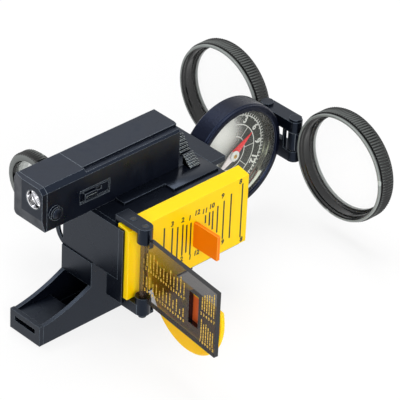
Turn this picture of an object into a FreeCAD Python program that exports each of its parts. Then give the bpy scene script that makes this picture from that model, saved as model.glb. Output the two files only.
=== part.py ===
import FreeCAD, Part
import math
import os

os.makedirs("parts", exist_ok=True)

# ---------------------------------------------------------------- frame
# Millimetres, +Z up. Origin: centre of the whistle's flat underside.
# +X runs from the whistle mouth to the lenses, -Y is the sundial side.

# whistle
WHISTLE_LENGTH = 66.0
WHISTLE_WIDTH = 14.2
WHISTLE_WALL = 1.4
WHISTLE_FLOOR = 1.6
MOUTH_FLANGE_T = 1.6
MOUTH_HEIGHT = 7.3
MOUTH_LIP = 0.4
SCOOP_FLOOR_Z = 6.3
SCOOP_SAG_Z = 9.1
SCOOP_TOP_Z = 13.3
SCOOP_LENGTH = 21.3
DUCT_WIDTH = 9.7
DUCT_HEIGHT = 1.8
DUCT_FLOOR_Z = 3.6
WINDOW_LENGTH = 6.1
LIP_DEPTH = 1.6
LIP_RISE = 2.5

# housing
HOUSING_START_X = -9.5
HOUSING_LENGTH = 46.0
HOUSING_BOTTOM_Z = 22.4
HOUSING_HEIGHT = 19.1
HOUSING_WALL = 1.8
HOUSING_NEAR_Y = -18.8
HOUSING_FAR_Y = 7.1
HOUSING_FILLET = 1.2
SHOULDER_START = 18.5
SHOULDER_DEPTH = 10.2
PLATE_T = 1.8
DECK_T = 0.8
DECK_START = 8.2
DECK_INSET = 8.5
DECK_STEP = 25.5
DECK_STEP_INSET = 4.5
DECK_END_GAP = 1.0
GRIP_RIDGES = 5
GRIP_PITCH = 0.75
GRIP_RIDGE = 0.4
GRIP_HEIGHT = 4.3
GRIP_LENGTH = 4.2
GRIP_DEPTH = 4.0
DECK_GRIP_GAP = 4.2
DECK_GRIP_Y = -8.8
REAR_GRIP_GAP = 0.3
REAR_GRIP_Y = 0.1
EYE_OUTER_R = 6.2
EYE_INNER_R = 4.6
EYE_T = 0.8
EYE_Y = 4.5
EYE_LIFT = 5.6

# side frame and sundial
FRAME_T = 2.0
FRAME_DROP = 8.2
FRAME_FLANGE = 2.2
FRAME_FLANGE_DEPTH = 5.0
DIAL_T = 1.8
DIAL_OVERHANG = 1.0
DIAL_REACH = 4.5
DIAL_DROP = 6.3
DIAL_TOP_LIFT = 0.1
DIAL_LIP_RISE = 1.0
DIAL_LIP_DEPTH = 5.0
GNOMON_FROM_LEFT = 28.4
GNOMON_T = 1.2
GNOMON_LIFT = 8.2
GNOMON_HEIGHT = 9.1
GNOMON_REACH = 11.0
GNOMON_TANG_INSET = 1.0

# code card, its hinge and the map segment
HINGE_FROM_LEFT = 3.3
HINGE_OUT = 3.7
CARD_OPEN_DEG = 6.0
KNUCKLE_R = 2.5
CARD_PIN_R = 1.1
PIN_CLEAR = 0.05
BAR_R = 1.3
KNUCKLE_RISE = 3.1
UPPER_KNUCKLE_H = 5.7
LOWER_KNUCKLE_DROP = 2.0
LOWER_KNUCKLE_H = 6.3
KNUCKLE_ARM_T = 1.8
KNUCKLE_ARM_W = 5.2
KNUCKLE_POST_T = 2.0
KNUCKLE_GAP = 0.2
PIN_TIP = 0.8
AXIAL_GAP = 0.35
CARD_LENGTH = 37.5
CARD_T = 1.6
CARD_LIFT = 1.6
CARD_TOP_GAP = 0.1
CARD_NOTCH = 3.4
SLOT_START = 24.2
SLOT_LENGTH = 4.7
SLOT_LIFT = 5.7
SLOT_HEIGHT = 11.6
WHEEL_R = 18.0
WHEEL_T = 1.6
WHEEL_S = 20.0
WHEEL_LIFT = 10.1
WHEEL_FLAT = 4.9
WHEEL_GAP = 0.4
WHEEL_AXLE_R = 1.6
WHEEL_HEAD_R = 2.8
WHEEL_HEAD_T = 0.9
WHEEL_END_GAP = 0.3

# torch
TORCH_OVERHANG = 20.1
TORCH_SETBACK = 9.5
TORCH_NEAR_Y = -5.8
TORCH_WIDTH = 14.6
TORCH_HEIGHT = 15.6
TORCH_WALL = 1.3
TORCH_CHAMFER = 1.6
TORCH_FAR_BEVEL = 1.2
TORCH_FAR_RISE = 2.4
TORCH_END_CUT = 1.0
TORCH_END_CUT_W = 4.0
LAMP_DEPTH = 9.2
LID_START = 18.4
LID_T = 1.9
LID_STEP = 0.9
LID_INSET = 1.0
BEZEL_T = 2.0
BEZEL_BEVEL = 1.2
PANEL_WIDTH = 9.7
PANEL_RISE = 4.6
REFLECTOR_IN = 4.3
REFLECTOR_RISE = 10.5
REFLECTOR_R = 3.3
REFLECTOR_DEPTH = 5.5
REFLECTOR_WALL = 0.5
BULB_R = 1.3
BULB_LENGTH = 5.0
BULB_FLANGE = 0.7
BULB_FLANGE_T = 1.2
CELL_R = 5.2
CELL_CLEAR = 0.05
CELL_START_GAP = 2.2
CELL_END_GAP = 2.2
CELL_NUB_R = 1.9
CELL_NUB_L = 1.0
CONTACT_T = 0.4
CONTACT_INSET = 1.0
FOOT_INSET = 3.0
SWITCH_RECESS_START = 15.4
SWITCH_RECESS_L = 12.4
SWITCH_RECESS_RISE = 4.1
SWITCH_RECESS_H = 5.0
SWITCH_RECESS_D = 0.7
SWITCH_START = 1.4
SWITCH_L = 5.0
SWITCH_H = 2.6
SWITCH_PROUD = 0.9
SWITCH_TRAVEL = 4.6
SWITCH_STEM_H = 1.0
SWITCH_STEM_INSET = 1.6
SWITCH_CLEAR = 0.1
BOSS_START = 5.2
BOSS_RISE = 5.9
BOSS_R = 2.4
BOSS_H = 1.0

# lens group
GROUP_PIN_OUT = 2.4
GROUP_PIN_IN = 4.05
GROUP_PIN_R = 1.1
GROUP_BARREL_R = 2.1
GROUP_LUG_R = 2.4
BRACKET_T = 2.0
BRACKET_WEB_T = 0.6
BRACKET_REACH = 6.4
BRACKET_NEAR_INSET = 9.1
BRACKET_FAR_INSET = 1.1
COMPASS_OUT = 20.95
COMPASS_IN = 8.4
COMPASS_LIFT = 5.6
COMPASS_R = 19.4
COMPASS_BORE_R = 16.8
COMPASS_T = 8.2
COMPASS_BACK_T = 3.4
COMPASS_GROOVE = 1.0
DIAL_DISC_T = 0.8
WINDOW_T = 1.0
WINDOW_LEDGE = 0.3
NEEDLE_LENGTH = 24.0
NEEDLE_WIDTH = 3.2
NEEDLE_T = 0.4
NEEDLE_LIFT = 1.2
NEEDLE_DEG = 35.0
NEEDLE_HUB_R = 1.5
NEEDLE_HUB_T = 1.2
NEEDLE_SOCKET = 1.0
PIVOT_R = 0.6
PIVOT_H = 1.6
PIVOT_CLEAR = 0.06
ARM_ROOT = 1.4
ARM_LENGTH = 7.0
ARM_INSET = 1.5
STEM_T = 2.2
STEM_HALF_H = 5.6
RING_LIFT = 5.1
RING_OUT = 3.75
RING_SET = 1.7
RING_T = 6.6
RING_R = 19.5
RING_BORE_R = 17.4
RING_SPACING = 57.4
RING_KNURLS = 72
KNURL_DEPTH = 0.4
RING_RIM = 0.9
LENS_LEDGE = 0.9
LENS_LEDGE_T = 1.4
RING_PIN_GAP = 2.5
RING_PIN_R = 1.2
RING_BARREL_R = 2.2
RING_LUG_R = 2.4
RING_BARREL_H = 7.4
RING_ARM_BACK = 1.4
RING_ARM_FRONT = 2.6
LUG_H = 4.0
BRIDGE_T = 5.4
BRIDGE_WEB_T = 1.4
BRIDGE_GAP = 0.5
BRIDGE_WINDOW_W = 4.8
BRIDGE_WINDOW_H = 4.6
BRIDGE_WINDOW_EDGE = 0.6
PIN_HEAD = 0.9
PIN_HEAD_T = 0.8
LENS_BULGE = 1.3
LENS_EDGE = 0.7
LENS_ZONES = (0.7, 0.3)
ROUND_SIDES = 60
CUP_SIDES = 24

# eyepiece
EYE_PIN_IN = 2.0
EYE_PIN_OUT = 2.7
EYE_PIN_R = 1.1
EYE_BARREL_R = 2.2
EYE_LUG_R = 2.5
EYE_LUG_T = 2.2
EYE_ARM_H = 9.0
EYE_LUG_REACH = 4.0
EYE_WEB_START = 1.6
EYE_WEB_T = 1.2
EYEPIECE_BACK = 9.6
EYEPIECE_OUT = 13.8
EYEPIECE_R = 10.7
EYEPIECE_BAND = 4.6
EYEPIECE_RIM = 0.8
EYEPIECE_KNURLS = 48
EYEPIECE_COLLAR_R = 9.2
EYEPIECE_COLLAR_L = 1.6
EYEPIECE_BORE_R = 7.8
EYEPIECE_LENS_IN = 2.0
EYE_ARM_SINK = 2.0
EYE_ARM_START = 1.0
EYE_ARM_TAPER = 0.8

# ---------------------------------------------------------------- derived
HALF_W = WHISTLE_WIDTH / 2.0
MOUTH_X = -WHISTLE_LENGTH / 2.0
HOUSING_END_X = HOUSING_START_X + HOUSING_LENGTH
HOUSING_TOP_Z = HOUSING_BOTTOM_Z + HOUSING_HEIGHT
SHOULDER_X = HOUSING_START_X + SHOULDER_START
SHOULDER_Y = HOUSING_FAR_Y + SHOULDER_DEPTH
PLATE_X = HOUSING_START_X - PLATE_T
FRAME_NEAR_Y = HOUSING_NEAR_Y - FRAME_T
FRAME_BOTTOM_Z = HOUSING_BOTTOM_Z - FRAME_DROP
DIAL_FACE_Y = FRAME_NEAR_Y - DIAL_T
DIAL_LEFT_X = HOUSING_START_X - DIAL_OVERHANG
DIAL_END_X = HOUSING_END_X + DIAL_REACH
DIAL_BOTTOM_Z = HOUSING_BOTTOM_Z - DIAL_DROP
DIAL_FRONT_TOP_Z = HOUSING_TOP_Z + DIAL_TOP_LIFT
GNOMON_X = DIAL_LEFT_X + GNOMON_FROM_LEFT
GNOMON_BOTTOM_Z = DIAL_BOTTOM_Z + GNOMON_LIFT
HINGE_X = DIAL_LEFT_X + HINGE_FROM_LEFT
HINGE_Y = DIAL_FACE_Y - HINGE_OUT
UPPER_KNUCKLE_TOP_Z = HOUSING_TOP_Z + KNUCKLE_RISE
UPPER_KNUCKLE_BOTTOM_Z = UPPER_KNUCKLE_TOP_Z - UPPER_KNUCKLE_H
LOWER_KNUCKLE_BOTTOM_Z = FRAME_BOTTOM_Z - LOWER_KNUCKLE_DROP
LOWER_KNUCKLE_TOP_Z = LOWER_KNUCKLE_BOTTOM_Z + LOWER_KNUCKLE_H
CARD_BOTTOM_Z = DIAL_BOTTOM_Z + CARD_LIFT
CARD_TOP_Z = HOUSING_TOP_Z - CARD_TOP_GAP
TORCH_START_X = PLATE_X - TORCH_OVERHANG
TORCH_END_X = HOUSING_END_X - TORCH_SETBACK
TORCH_FAR_Y = TORCH_NEAR_Y + TORCH_WIDTH
TORCH_Z = HOUSING_TOP_Z
TORCH_TOP_Z = TORCH_Z + TORCH_HEIGHT
REFLECTOR_Y = TORCH_NEAR_Y + REFLECTOR_IN
REFLECTOR_Z = TORCH_Z + REFLECTOR_RISE
GROUP_PIN_X = HOUSING_END_X + GROUP_PIN_OUT
GROUP_PIN_Y = SHOULDER_Y - GROUP_PIN_IN
COMPASS_X = GROUP_PIN_X + COMPASS_OUT
COMPASS_Y = GROUP_PIN_Y - COMPASS_IN
COMPASS_Z = HOUSING_BOTTOM_Z + COMPASS_LIFT
COMPASS_FRONT_Y = COMPASS_Y - COMPASS_T / 2.0
RING_Z = HOUSING_BOTTOM_Z + RING_LIFT
RING_PIN_X = COMPASS_X + COMPASS_R + RING_OUT
RING_X = RING_PIN_X - RING_SET
RING_NEAR_Y = COMPASS_Y - RING_SPACING / 2.0
RING_FAR_Y = COMPASS_Y + RING_SPACING / 2.0
RING_PIN_OFFSET = RING_R + RING_PIN_GAP
EYE_PIN_X = SHOULDER_X - EYE_PIN_IN
EYE_PIN_Y = SHOULDER_Y + EYE_PIN_OUT
EYEPIECE_X = EYE_PIN_X - EYEPIECE_BACK
EYEPIECE_Y = EYE_PIN_Y + EYEPIECE_OUT

X_AXIS = FreeCAD.Vector(1, 0, 0)
Y_AXIS = FreeCAD.Vector(0, 1, 0)
Z_AXIS = FreeCAD.Vector(0, 0, 1)
FRONT_AXIS = FreeCAD.Vector(-1, 0, 0)


def vec(x, y, z):
    return FreeCAD.Vector(x, y, z)


def box(x0, x1, y0, y1, z0, z1):
    return Part.makeBox(x1 - x0, y1 - y0, z1 - z0, vec(x0, y0, z0))


def rod(radius, length, base, axis):
    return Part.makeCylinder(radius, length, base, axis)


def tube(outer, inner, length, base, axis):
    return rod(outer, length, base, axis).cut(rod(inner, length, base, axis))


def fused(shapes):
    """One clean solid from pieces that touch or overlap."""
    return shapes[0].multiFuse(shapes[1:]).removeSplitter()


def turned(profile, base, axis):
    """Solid of revolution from (radius, height) points, raised from base along axis."""
    points = [vec(r, 0, h) for r, h in profile]
    face = Part.Face(Part.makePolygon(points + points[:1]))
    solid = face.revolve(vec(0, 0, 0), Z_AXIS, 360)
    solid.Placement = FreeCAD.Placement(base, FreeCAD.Rotation(Z_AXIS, axis))
    return solid


def prism(points, direction):
    """Straight extrusion of a closed polygon."""
    return Part.Face(Part.makePolygon(points + points[:1])).extrude(direction)


def corners(radius, height, sides, depth=0.0):
    """Corner points of a round outline, every second one set in by depth."""
    points = []
    for i in range(sides):
        angle = 2 * math.pi * i / sides
        r = radius - depth * (i % 2)
        points.append(vec(r * math.cos(angle), r * math.sin(angle), height))
    return points


def disc(radius, length, base, axis, depth=0.0, sides=ROUND_SIDES):
    """Large round bar of straight sides, knurled when a depth is given."""
    bar = prism(corners(radius, 0, sides, depth), vec(0, 0, length))
    bar.Placement = FreeCAD.Placement(base, FreeCAD.Rotation(Z_AXIS, axis))
    return bar


def taper(start, end, length, base, axis, sides=ROUND_SIDES):
    """Round bar of straight sides that narrows or widens from one radius to the other."""
    low = corners(start, 0, sides)
    high = corners(end, length, sides)
    faces = [Part.Face(Part.makePolygon(ring + ring[:1])) for ring in (low, high)]
    for i in range(sides):
        k = (i + 1) % sides
        faces.append(Part.Face(Part.makePolygon([low[i], low[k], high[k], high[i], low[i]])))
    bar = Part.makeSolid(Part.makeShell(faces))
    bar.Placement = FreeCAD.Placement(base, FreeCAD.Rotation(Z_AXIS, axis))
    return bar


def lens(radius, edge, bulge, base, axis):
    """Flat-backed lens whose domed front faces back along the axis."""
    curve = (radius * radius + bulge * bulge) / (2.0 * bulge)
    back = vec(-axis.x, -axis.y, -axis.z)
    shapes = [disc(radius, edge, base, axis)]
    start, height = radius, 0.0
    for share in LENS_ZONES:
        end = radius * share
        rise = bulge - curve + math.sqrt(curve * curve - end * end)
        shapes.append(taper(start, end, rise - height, base + back * height, back))
        start, height = end, rise
    return fused(shapes)


def save(shape, name):
    shape.exportStep("parts/" + name + ".step")


# ---------------------------------------------------------------- whistle
def whistle():
    """Mouth scoop, air duct, sounding window and the resonance chamber that carries the housing."""
    body_x = MOUTH_X + MOUTH_FLANGE_T
    end_x = WHISTLE_LENGTH / 2.0
    scoop_x = MOUTH_X + SCOOP_LENGTH
    window_x = scoop_x - WINDOW_LENGTH
    mouth_z = MOUTH_HEIGHT - MOUTH_LIP
    low = vec(body_x, -HALF_W, 0)
    edges = [
        Part.LineSegment(low, vec(end_x, -HALF_W, 0)).toShape(),
        Part.LineSegment(vec(end_x, -HALF_W, 0), vec(end_x, -HALF_W, HOUSING_BOTTOM_Z)).toShape(),
        Part.LineSegment(vec(end_x, -HALF_W, HOUSING_BOTTOM_Z),
                         vec(scoop_x, -HALF_W, HOUSING_BOTTOM_Z)).toShape(),
        Part.LineSegment(vec(scoop_x, -HALF_W, HOUSING_BOTTOM_Z), vec(scoop_x, -HALF_W, SCOOP_TOP_Z)).toShape(),
        Part.Arc(vec(scoop_x, -HALF_W, SCOOP_TOP_Z), vec((body_x + scoop_x) / 2.0, -HALF_W, SCOOP_SAG_Z),
                 vec(body_x, -HALF_W, mouth_z)).toShape(),
        Part.LineSegment(vec(body_x, -HALF_W, mouth_z), low).toShape(),
    ]
    outer = Part.Face(Part.Wire(edges)).extrude(vec(0, WHISTLE_WIDTH, 0))
    inner_y = HALF_W - WHISTLE_WALL
    ceiling_z = HOUSING_BOTTOM_Z - WHISTLE_WALL
    scoop = box(body_x, scoop_x, -inner_y, inner_y, SCOOP_FLOOR_Z, ceiling_z)
    window = box(window_x, scoop_x, -inner_y, inner_y, WHISTLE_FLOOR, SCOOP_FLOOR_Z)
    chamber = box(scoop_x, end_x - WHISTLE_WALL, -inner_y, inner_y, WHISTLE_FLOOR, ceiling_z)
    socket = box(body_x, window_x, -inner_y, inner_y, WHISTLE_FLOOR, SCOOP_FLOOR_Z)
    lip = prism([vec(scoop_x, -inner_y, SCOOP_TOP_Z),
                 vec(scoop_x + LIP_DEPTH, -inner_y, SCOOP_TOP_Z + LIP_RISE),
                 vec(scoop_x + LIP_DEPTH, -inner_y, ceiling_z),
                 vec(scoop_x, -inner_y, ceiling_z)], vec(0, 2 * inner_y, 0))
    body = outer.cut(scoop).cut(window).cut(chamber).cut(socket).fuse(lip).removeSplitter()
    save(body, "whistle_body")

    flange = box(MOUTH_X, body_x, -HALF_W, HALF_W, 0, MOUTH_HEIGHT)
    tongue = box(body_x, window_x, -inner_y, inner_y, WHISTLE_FLOOR, SCOOP_FLOOR_Z)
    duct = box(MOUTH_X, window_x, -DUCT_WIDTH / 2.0, DUCT_WIDTH / 2.0, DUCT_FLOOR_Z, DUCT_FLOOR_Z + DUCT_HEIGHT)
    save(fused([flange, tongue]).cut(duct), "whistle_mouthpiece")


# ---------------------------------------------------------------- housing
def ribbed_grip(x0, y0, z0, height):
    """Thumb block whose near side carries level ribs."""
    shapes = [box(x0, x0 + GRIP_LENGTH, y0, y0 + GRIP_DEPTH, z0, z0 + height)]
    for i in range(GRIP_RIDGES):
        z = z0 + GRIP_PITCH * (i + 0.5)
        shapes.append(box(x0, x0 + GRIP_LENGTH, y0 - GRIP_RIDGE, y0, z, z + GRIP_RIDGE))
    return shapes


def housing():
    """Moulded case with a shoulder at the back, closed by the front plate."""
    wall = HOUSING_WALL
    outer = fused([
        box(HOUSING_START_X, HOUSING_END_X, HOUSING_NEAR_Y, HOUSING_FAR_Y, HOUSING_BOTTOM_Z, HOUSING_TOP_Z),
        box(SHOULDER_X, HOUSING_END_X, HOUSING_FAR_Y, SHOULDER_Y, HOUSING_BOTTOM_Z, HOUSING_TOP_Z)])
    corner = [e for e in outer.Edges
              if abs(e.Vertexes[0].X - HOUSING_END_X) < 0.01 and abs(e.Vertexes[-1].X - HOUSING_END_X) < 0.01
              and abs(e.Vertexes[0].Z - e.Vertexes[-1].Z) > 1.0]
    outer = outer.makeFillet(HOUSING_FILLET, corner)
    cavity = fused([
        box(HOUSING_START_X, HOUSING_END_X - wall, HOUSING_NEAR_Y + wall, HOUSING_FAR_Y - wall,
            HOUSING_BOTTOM_Z + wall, HOUSING_TOP_Z - wall),
        box(SHOULDER_X + wall, HOUSING_END_X - wall, HOUSING_FAR_Y - wall, SHOULDER_Y - wall,
            HOUSING_BOTTOM_Z + wall, HOUSING_TOP_Z - wall)])
    save(outer.cut(cavity), "main_housing")

    plate = box(PLATE_X, HOUSING_START_X, HOUSING_NEAR_Y, HOUSING_FAR_Y, HOUSING_BOTTOM_Z, HOUSING_TOP_Z)
    eye_z = HOUSING_BOTTOM_Z + EYE_LIFT
    eye = tube(EYE_OUTER_R, EYE_INNER_R, EYE_T, vec(PLATE_X, EYE_Y, eye_z), X_AXIS)
    eye = eye.cut(box(PLATE_X, HOUSING_START_X, EYE_Y - EYE_OUTER_R, HOUSING_FAR_Y,
                      eye_z - EYE_OUTER_R, eye_z + EYE_OUTER_R))
    save(fused([plate, eye]), "front_plate")

    deck_x = HOUSING_START_X + DECK_START
    step_x = HOUSING_START_X + DECK_STEP
    deck_end = HOUSING_END_X - DECK_END_GAP
    deck_y = HOUSING_NEAR_Y + DECK_INSET
    step_y = HOUSING_NEAR_Y + DECK_STEP_INSET
    deck = prism([vec(deck_x, deck_y, HOUSING_TOP_Z), vec(step_x, deck_y, HOUSING_TOP_Z),
                  vec(step_x, step_y, HOUSING_TOP_Z), vec(deck_end, step_y, HOUSING_TOP_Z),
                  vec(deck_end, TORCH_NEAR_Y, HOUSING_TOP_Z), vec(deck_x, TORCH_NEAR_Y, HOUSING_TOP_Z)],
                 vec(0, 0, DECK_T))
    grip_x = HOUSING_END_X - DECK_GRIP_GAP - GRIP_LENGTH
    save(fused([deck] + ribbed_grip(grip_x, DECK_GRIP_Y, HOUSING_TOP_Z, GRIP_HEIGHT)), "top_deck")
    rear_x = HOUSING_END_X - REAR_GRIP_GAP - GRIP_LENGTH
    save(fused(ribbed_grip(rear_x, REAR_GRIP_Y, HOUSING_TOP_Z, GRIP_HEIGHT + DECK_T)), "rear_grip_pad")


# ---------------------------------------------------------------- sundial
def sundial():
    """Black side frame, yellow dial plate that hooks over it, and the orange gnomon."""
    end_x = DIAL_END_X - DIAL_OVERHANG
    frame = [box(PLATE_X, end_x, FRAME_NEAR_Y, HOUSING_NEAR_Y, FRAME_BOTTOM_Z, HOUSING_TOP_Z)]
    for x in (PLATE_X, end_x - FRAME_FLANGE):
        frame.append(box(x, x + FRAME_FLANGE, HOUSING_NEAR_Y, HOUSING_NEAR_Y + FRAME_FLANGE_DEPTH,
                         FRAME_BOTTOM_Z, HOUSING_BOTTOM_Z))
    x0 = GNOMON_X - GNOMON_T / 2.0
    x1 = GNOMON_X + GNOMON_T / 2.0
    tang_z0 = GNOMON_BOTTOM_Z + GNOMON_TANG_INSET
    tang_z1 = GNOMON_BOTTOM_Z + GNOMON_HEIGHT - GNOMON_TANG_INSET
    tang = box(x0, x1, DIAL_FACE_Y, HOUSING_NEAR_Y, tang_z0, tang_z1)
    save(fused(frame).cut(tang), "side_frame")

    lip_y = DIAL_FACE_Y + DIAL_LIP_DEPTH
    plate = prism([vec(DIAL_LEFT_X, DIAL_FACE_Y, DIAL_BOTTOM_Z), vec(DIAL_LEFT_X, DIAL_FACE_Y, DIAL_FRONT_TOP_Z),
                   vec(DIAL_LEFT_X, lip_y, DIAL_FRONT_TOP_Z + DIAL_LIP_RISE), vec(DIAL_LEFT_X, lip_y, HOUSING_TOP_Z),
                   vec(DIAL_LEFT_X, FRAME_NEAR_Y, HOUSING_TOP_Z), vec(DIAL_LEFT_X, FRAME_NEAR_Y, DIAL_BOTTOM_Z)],
                  vec(DIAL_END_X - DIAL_LEFT_X, 0, 0))
    save(plate.cut(tang), "sundial_plate")

    fin = box(x0, x1, DIAL_FACE_Y - GNOMON_REACH, DIAL_FACE_Y, GNOMON_BOTTOM_Z, GNOMON_BOTTOM_Z + GNOMON_HEIGHT)
    save(fused([fin, tang]), "gnomon")


# ---------------------------------------------------------------- card leaf
def leaf_place(shape):
    """Turn a leaf built along -Y at the hinge by its open angle past square."""
    placed = shape.copy()
    placed.rotate(vec(HINGE_X, HINGE_Y, 0), Z_AXIS, -CARD_OPEN_DEG)
    return placed


def card():
    """Knuckles on the frame, the hinge bar, the smoked code card and the map segment behind it."""
    bore = CARD_PIN_R + PIN_CLEAR
    axis_base = vec(HINGE_X, HINGE_Y, UPPER_KNUCKLE_BOTTOM_Z)
    arm_z = UPPER_KNUCKLE_TOP_Z - KNUCKLE_ARM_T
    lip_y = DIAL_FACE_Y + DIAL_LIP_DEPTH
    half = KNUCKLE_ARM_W / 2.0
    upper = fused([
        rod(KNUCKLE_R, UPPER_KNUCKLE_H, axis_base, Z_AXIS),
        box(HINGE_X - half, HINGE_X + half, HINGE_Y, lip_y + KNUCKLE_POST_T, arm_z, UPPER_KNUCKLE_TOP_Z),
        box(HINGE_X - half, HINGE_X + half, lip_y, lip_y + KNUCKLE_POST_T, HOUSING_TOP_Z, UPPER_KNUCKLE_TOP_Z)])
    upper = upper.cut(rod(bore, UPPER_KNUCKLE_H - KNUCKLE_ARM_T, axis_base, Z_AXIS))
    save(upper, "upper_knuckle")

    low_base = vec(HINGE_X, HINGE_Y, LOWER_KNUCKLE_BOTTOM_Z)
    lower = fused([
        rod(KNUCKLE_R, LOWER_KNUCKLE_H, low_base, Z_AXIS),
        box(HINGE_X - half, HINGE_X + half, HINGE_Y, FRAME_NEAR_Y,
            LOWER_KNUCKLE_BOTTOM_Z, DIAL_BOTTOM_Z - KNUCKLE_GAP),
        box(HINGE_X - half, HINGE_X + half, FRAME_NEAR_Y, HOUSING_NEAR_Y,
            LOWER_KNUCKLE_BOTTOM_Z, FRAME_BOTTOM_Z)])
    lower = lower.cut(rod(bore, LOWER_KNUCKLE_H, low_base, Z_AXIS))
    save(lower, "lower_knuckle")

    bar_bottom = LOWER_KNUCKLE_TOP_Z + AXIAL_GAP
    bar_top = UPPER_KNUCKLE_BOTTOM_Z - AXIAL_GAP
    pin_bottom = LOWER_KNUCKLE_BOTTOM_Z - PIN_TIP
    pin_top = arm_z - AXIAL_GAP
    bar = fused([
        rod(BAR_R, bar_top - bar_bottom, vec(HINGE_X, HINGE_Y, bar_bottom), Z_AXIS),
        rod(CARD_PIN_R, pin_top - pin_bottom, vec(HINGE_X, HINGE_Y, pin_bottom), Z_AXIS)])
    save(bar, "card_hinge_bar")

    x0 = HINGE_X - CARD_T / 2.0
    x1 = HINGE_X + CARD_T / 2.0
    plate = box(x0, x1, HINGE_Y - CARD_LENGTH, HINGE_Y, CARD_BOTTOM_Z, CARD_TOP_Z)
    plate = plate.cut(box(x0, x1, HINGE_Y - CARD_NOTCH, HINGE_Y, bar_top - AXIAL_GAP, CARD_TOP_Z))
    plate = plate.cut(box(x0, x1, HINGE_Y - CARD_NOTCH, HINGE_Y, CARD_BOTTOM_Z, bar_bottom + AXIAL_GAP))
    plate = plate.cut(rod(BAR_R, CARD_TOP_Z, vec(HINGE_X, HINGE_Y, 0), Z_AXIS))
    slot_z = CARD_BOTTOM_Z + SLOT_LIFT
    plate = plate.cut(box(x0, x1, HINGE_Y - SLOT_START - SLOT_LENGTH, HINGE_Y - SLOT_START,
                          slot_z, slot_z + SLOT_HEIGHT))
    save(leaf_place(plate), "code_card")

    hub = vec(x1, HINGE_Y - WHEEL_S, CARD_BOTTOM_Z + WHEEL_LIFT)
    span = WHEEL_GAP + WHEEL_T + WHEEL_END_GAP
    axle = fused([rod(WHEEL_AXLE_R, span, hub, X_AXIS),
                  rod(WHEEL_HEAD_R, WHEEL_HEAD_T, hub + vec(span, 0, 0), X_AXIS)])
    save(leaf_place(axle), "wheel_axle")

    segment_x = x1 + WHEEL_GAP
    segment = disc(WHEEL_R, WHEEL_T, hub + vec(WHEEL_GAP, 0, 0), X_AXIS)
    segment = segment.cut(rod(WHEEL_AXLE_R + PIN_CLEAR, WHEEL_T, hub + vec(WHEEL_GAP, 0, 0), X_AXIS))
    segment = segment.cut(box(segment_x, segment_x + WHEEL_T, hub.y - WHEEL_R, hub.y + WHEEL_R,
                              hub.z + WHEEL_FLAT, hub.z + WHEEL_R))
    save(leaf_place(segment), "map_wheel")


# ---------------------------------------------------------------- torch
def torch_section(x):
    """Cross-section of the torch: upright near side, bulging far side, bevelled top edges."""
    y0, y1 = TORCH_NEAR_Y, TORCH_FAR_Y
    return [vec(x, y0, TORCH_Z), vec(x, y1 - TORCH_FAR_BEVEL, TORCH_Z), vec(x, y1, TORCH_Z + TORCH_FAR_BEVEL),
            vec(x, y1, TORCH_TOP_Z - TORCH_FAR_RISE), vec(x, y1 - TORCH_FAR_BEVEL, TORCH_TOP_Z),
            vec(x, y0 + TORCH_CHAMFER, TORCH_TOP_Z), vec(x, y0, TORCH_TOP_Z - TORCH_CHAMFER)]


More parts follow.
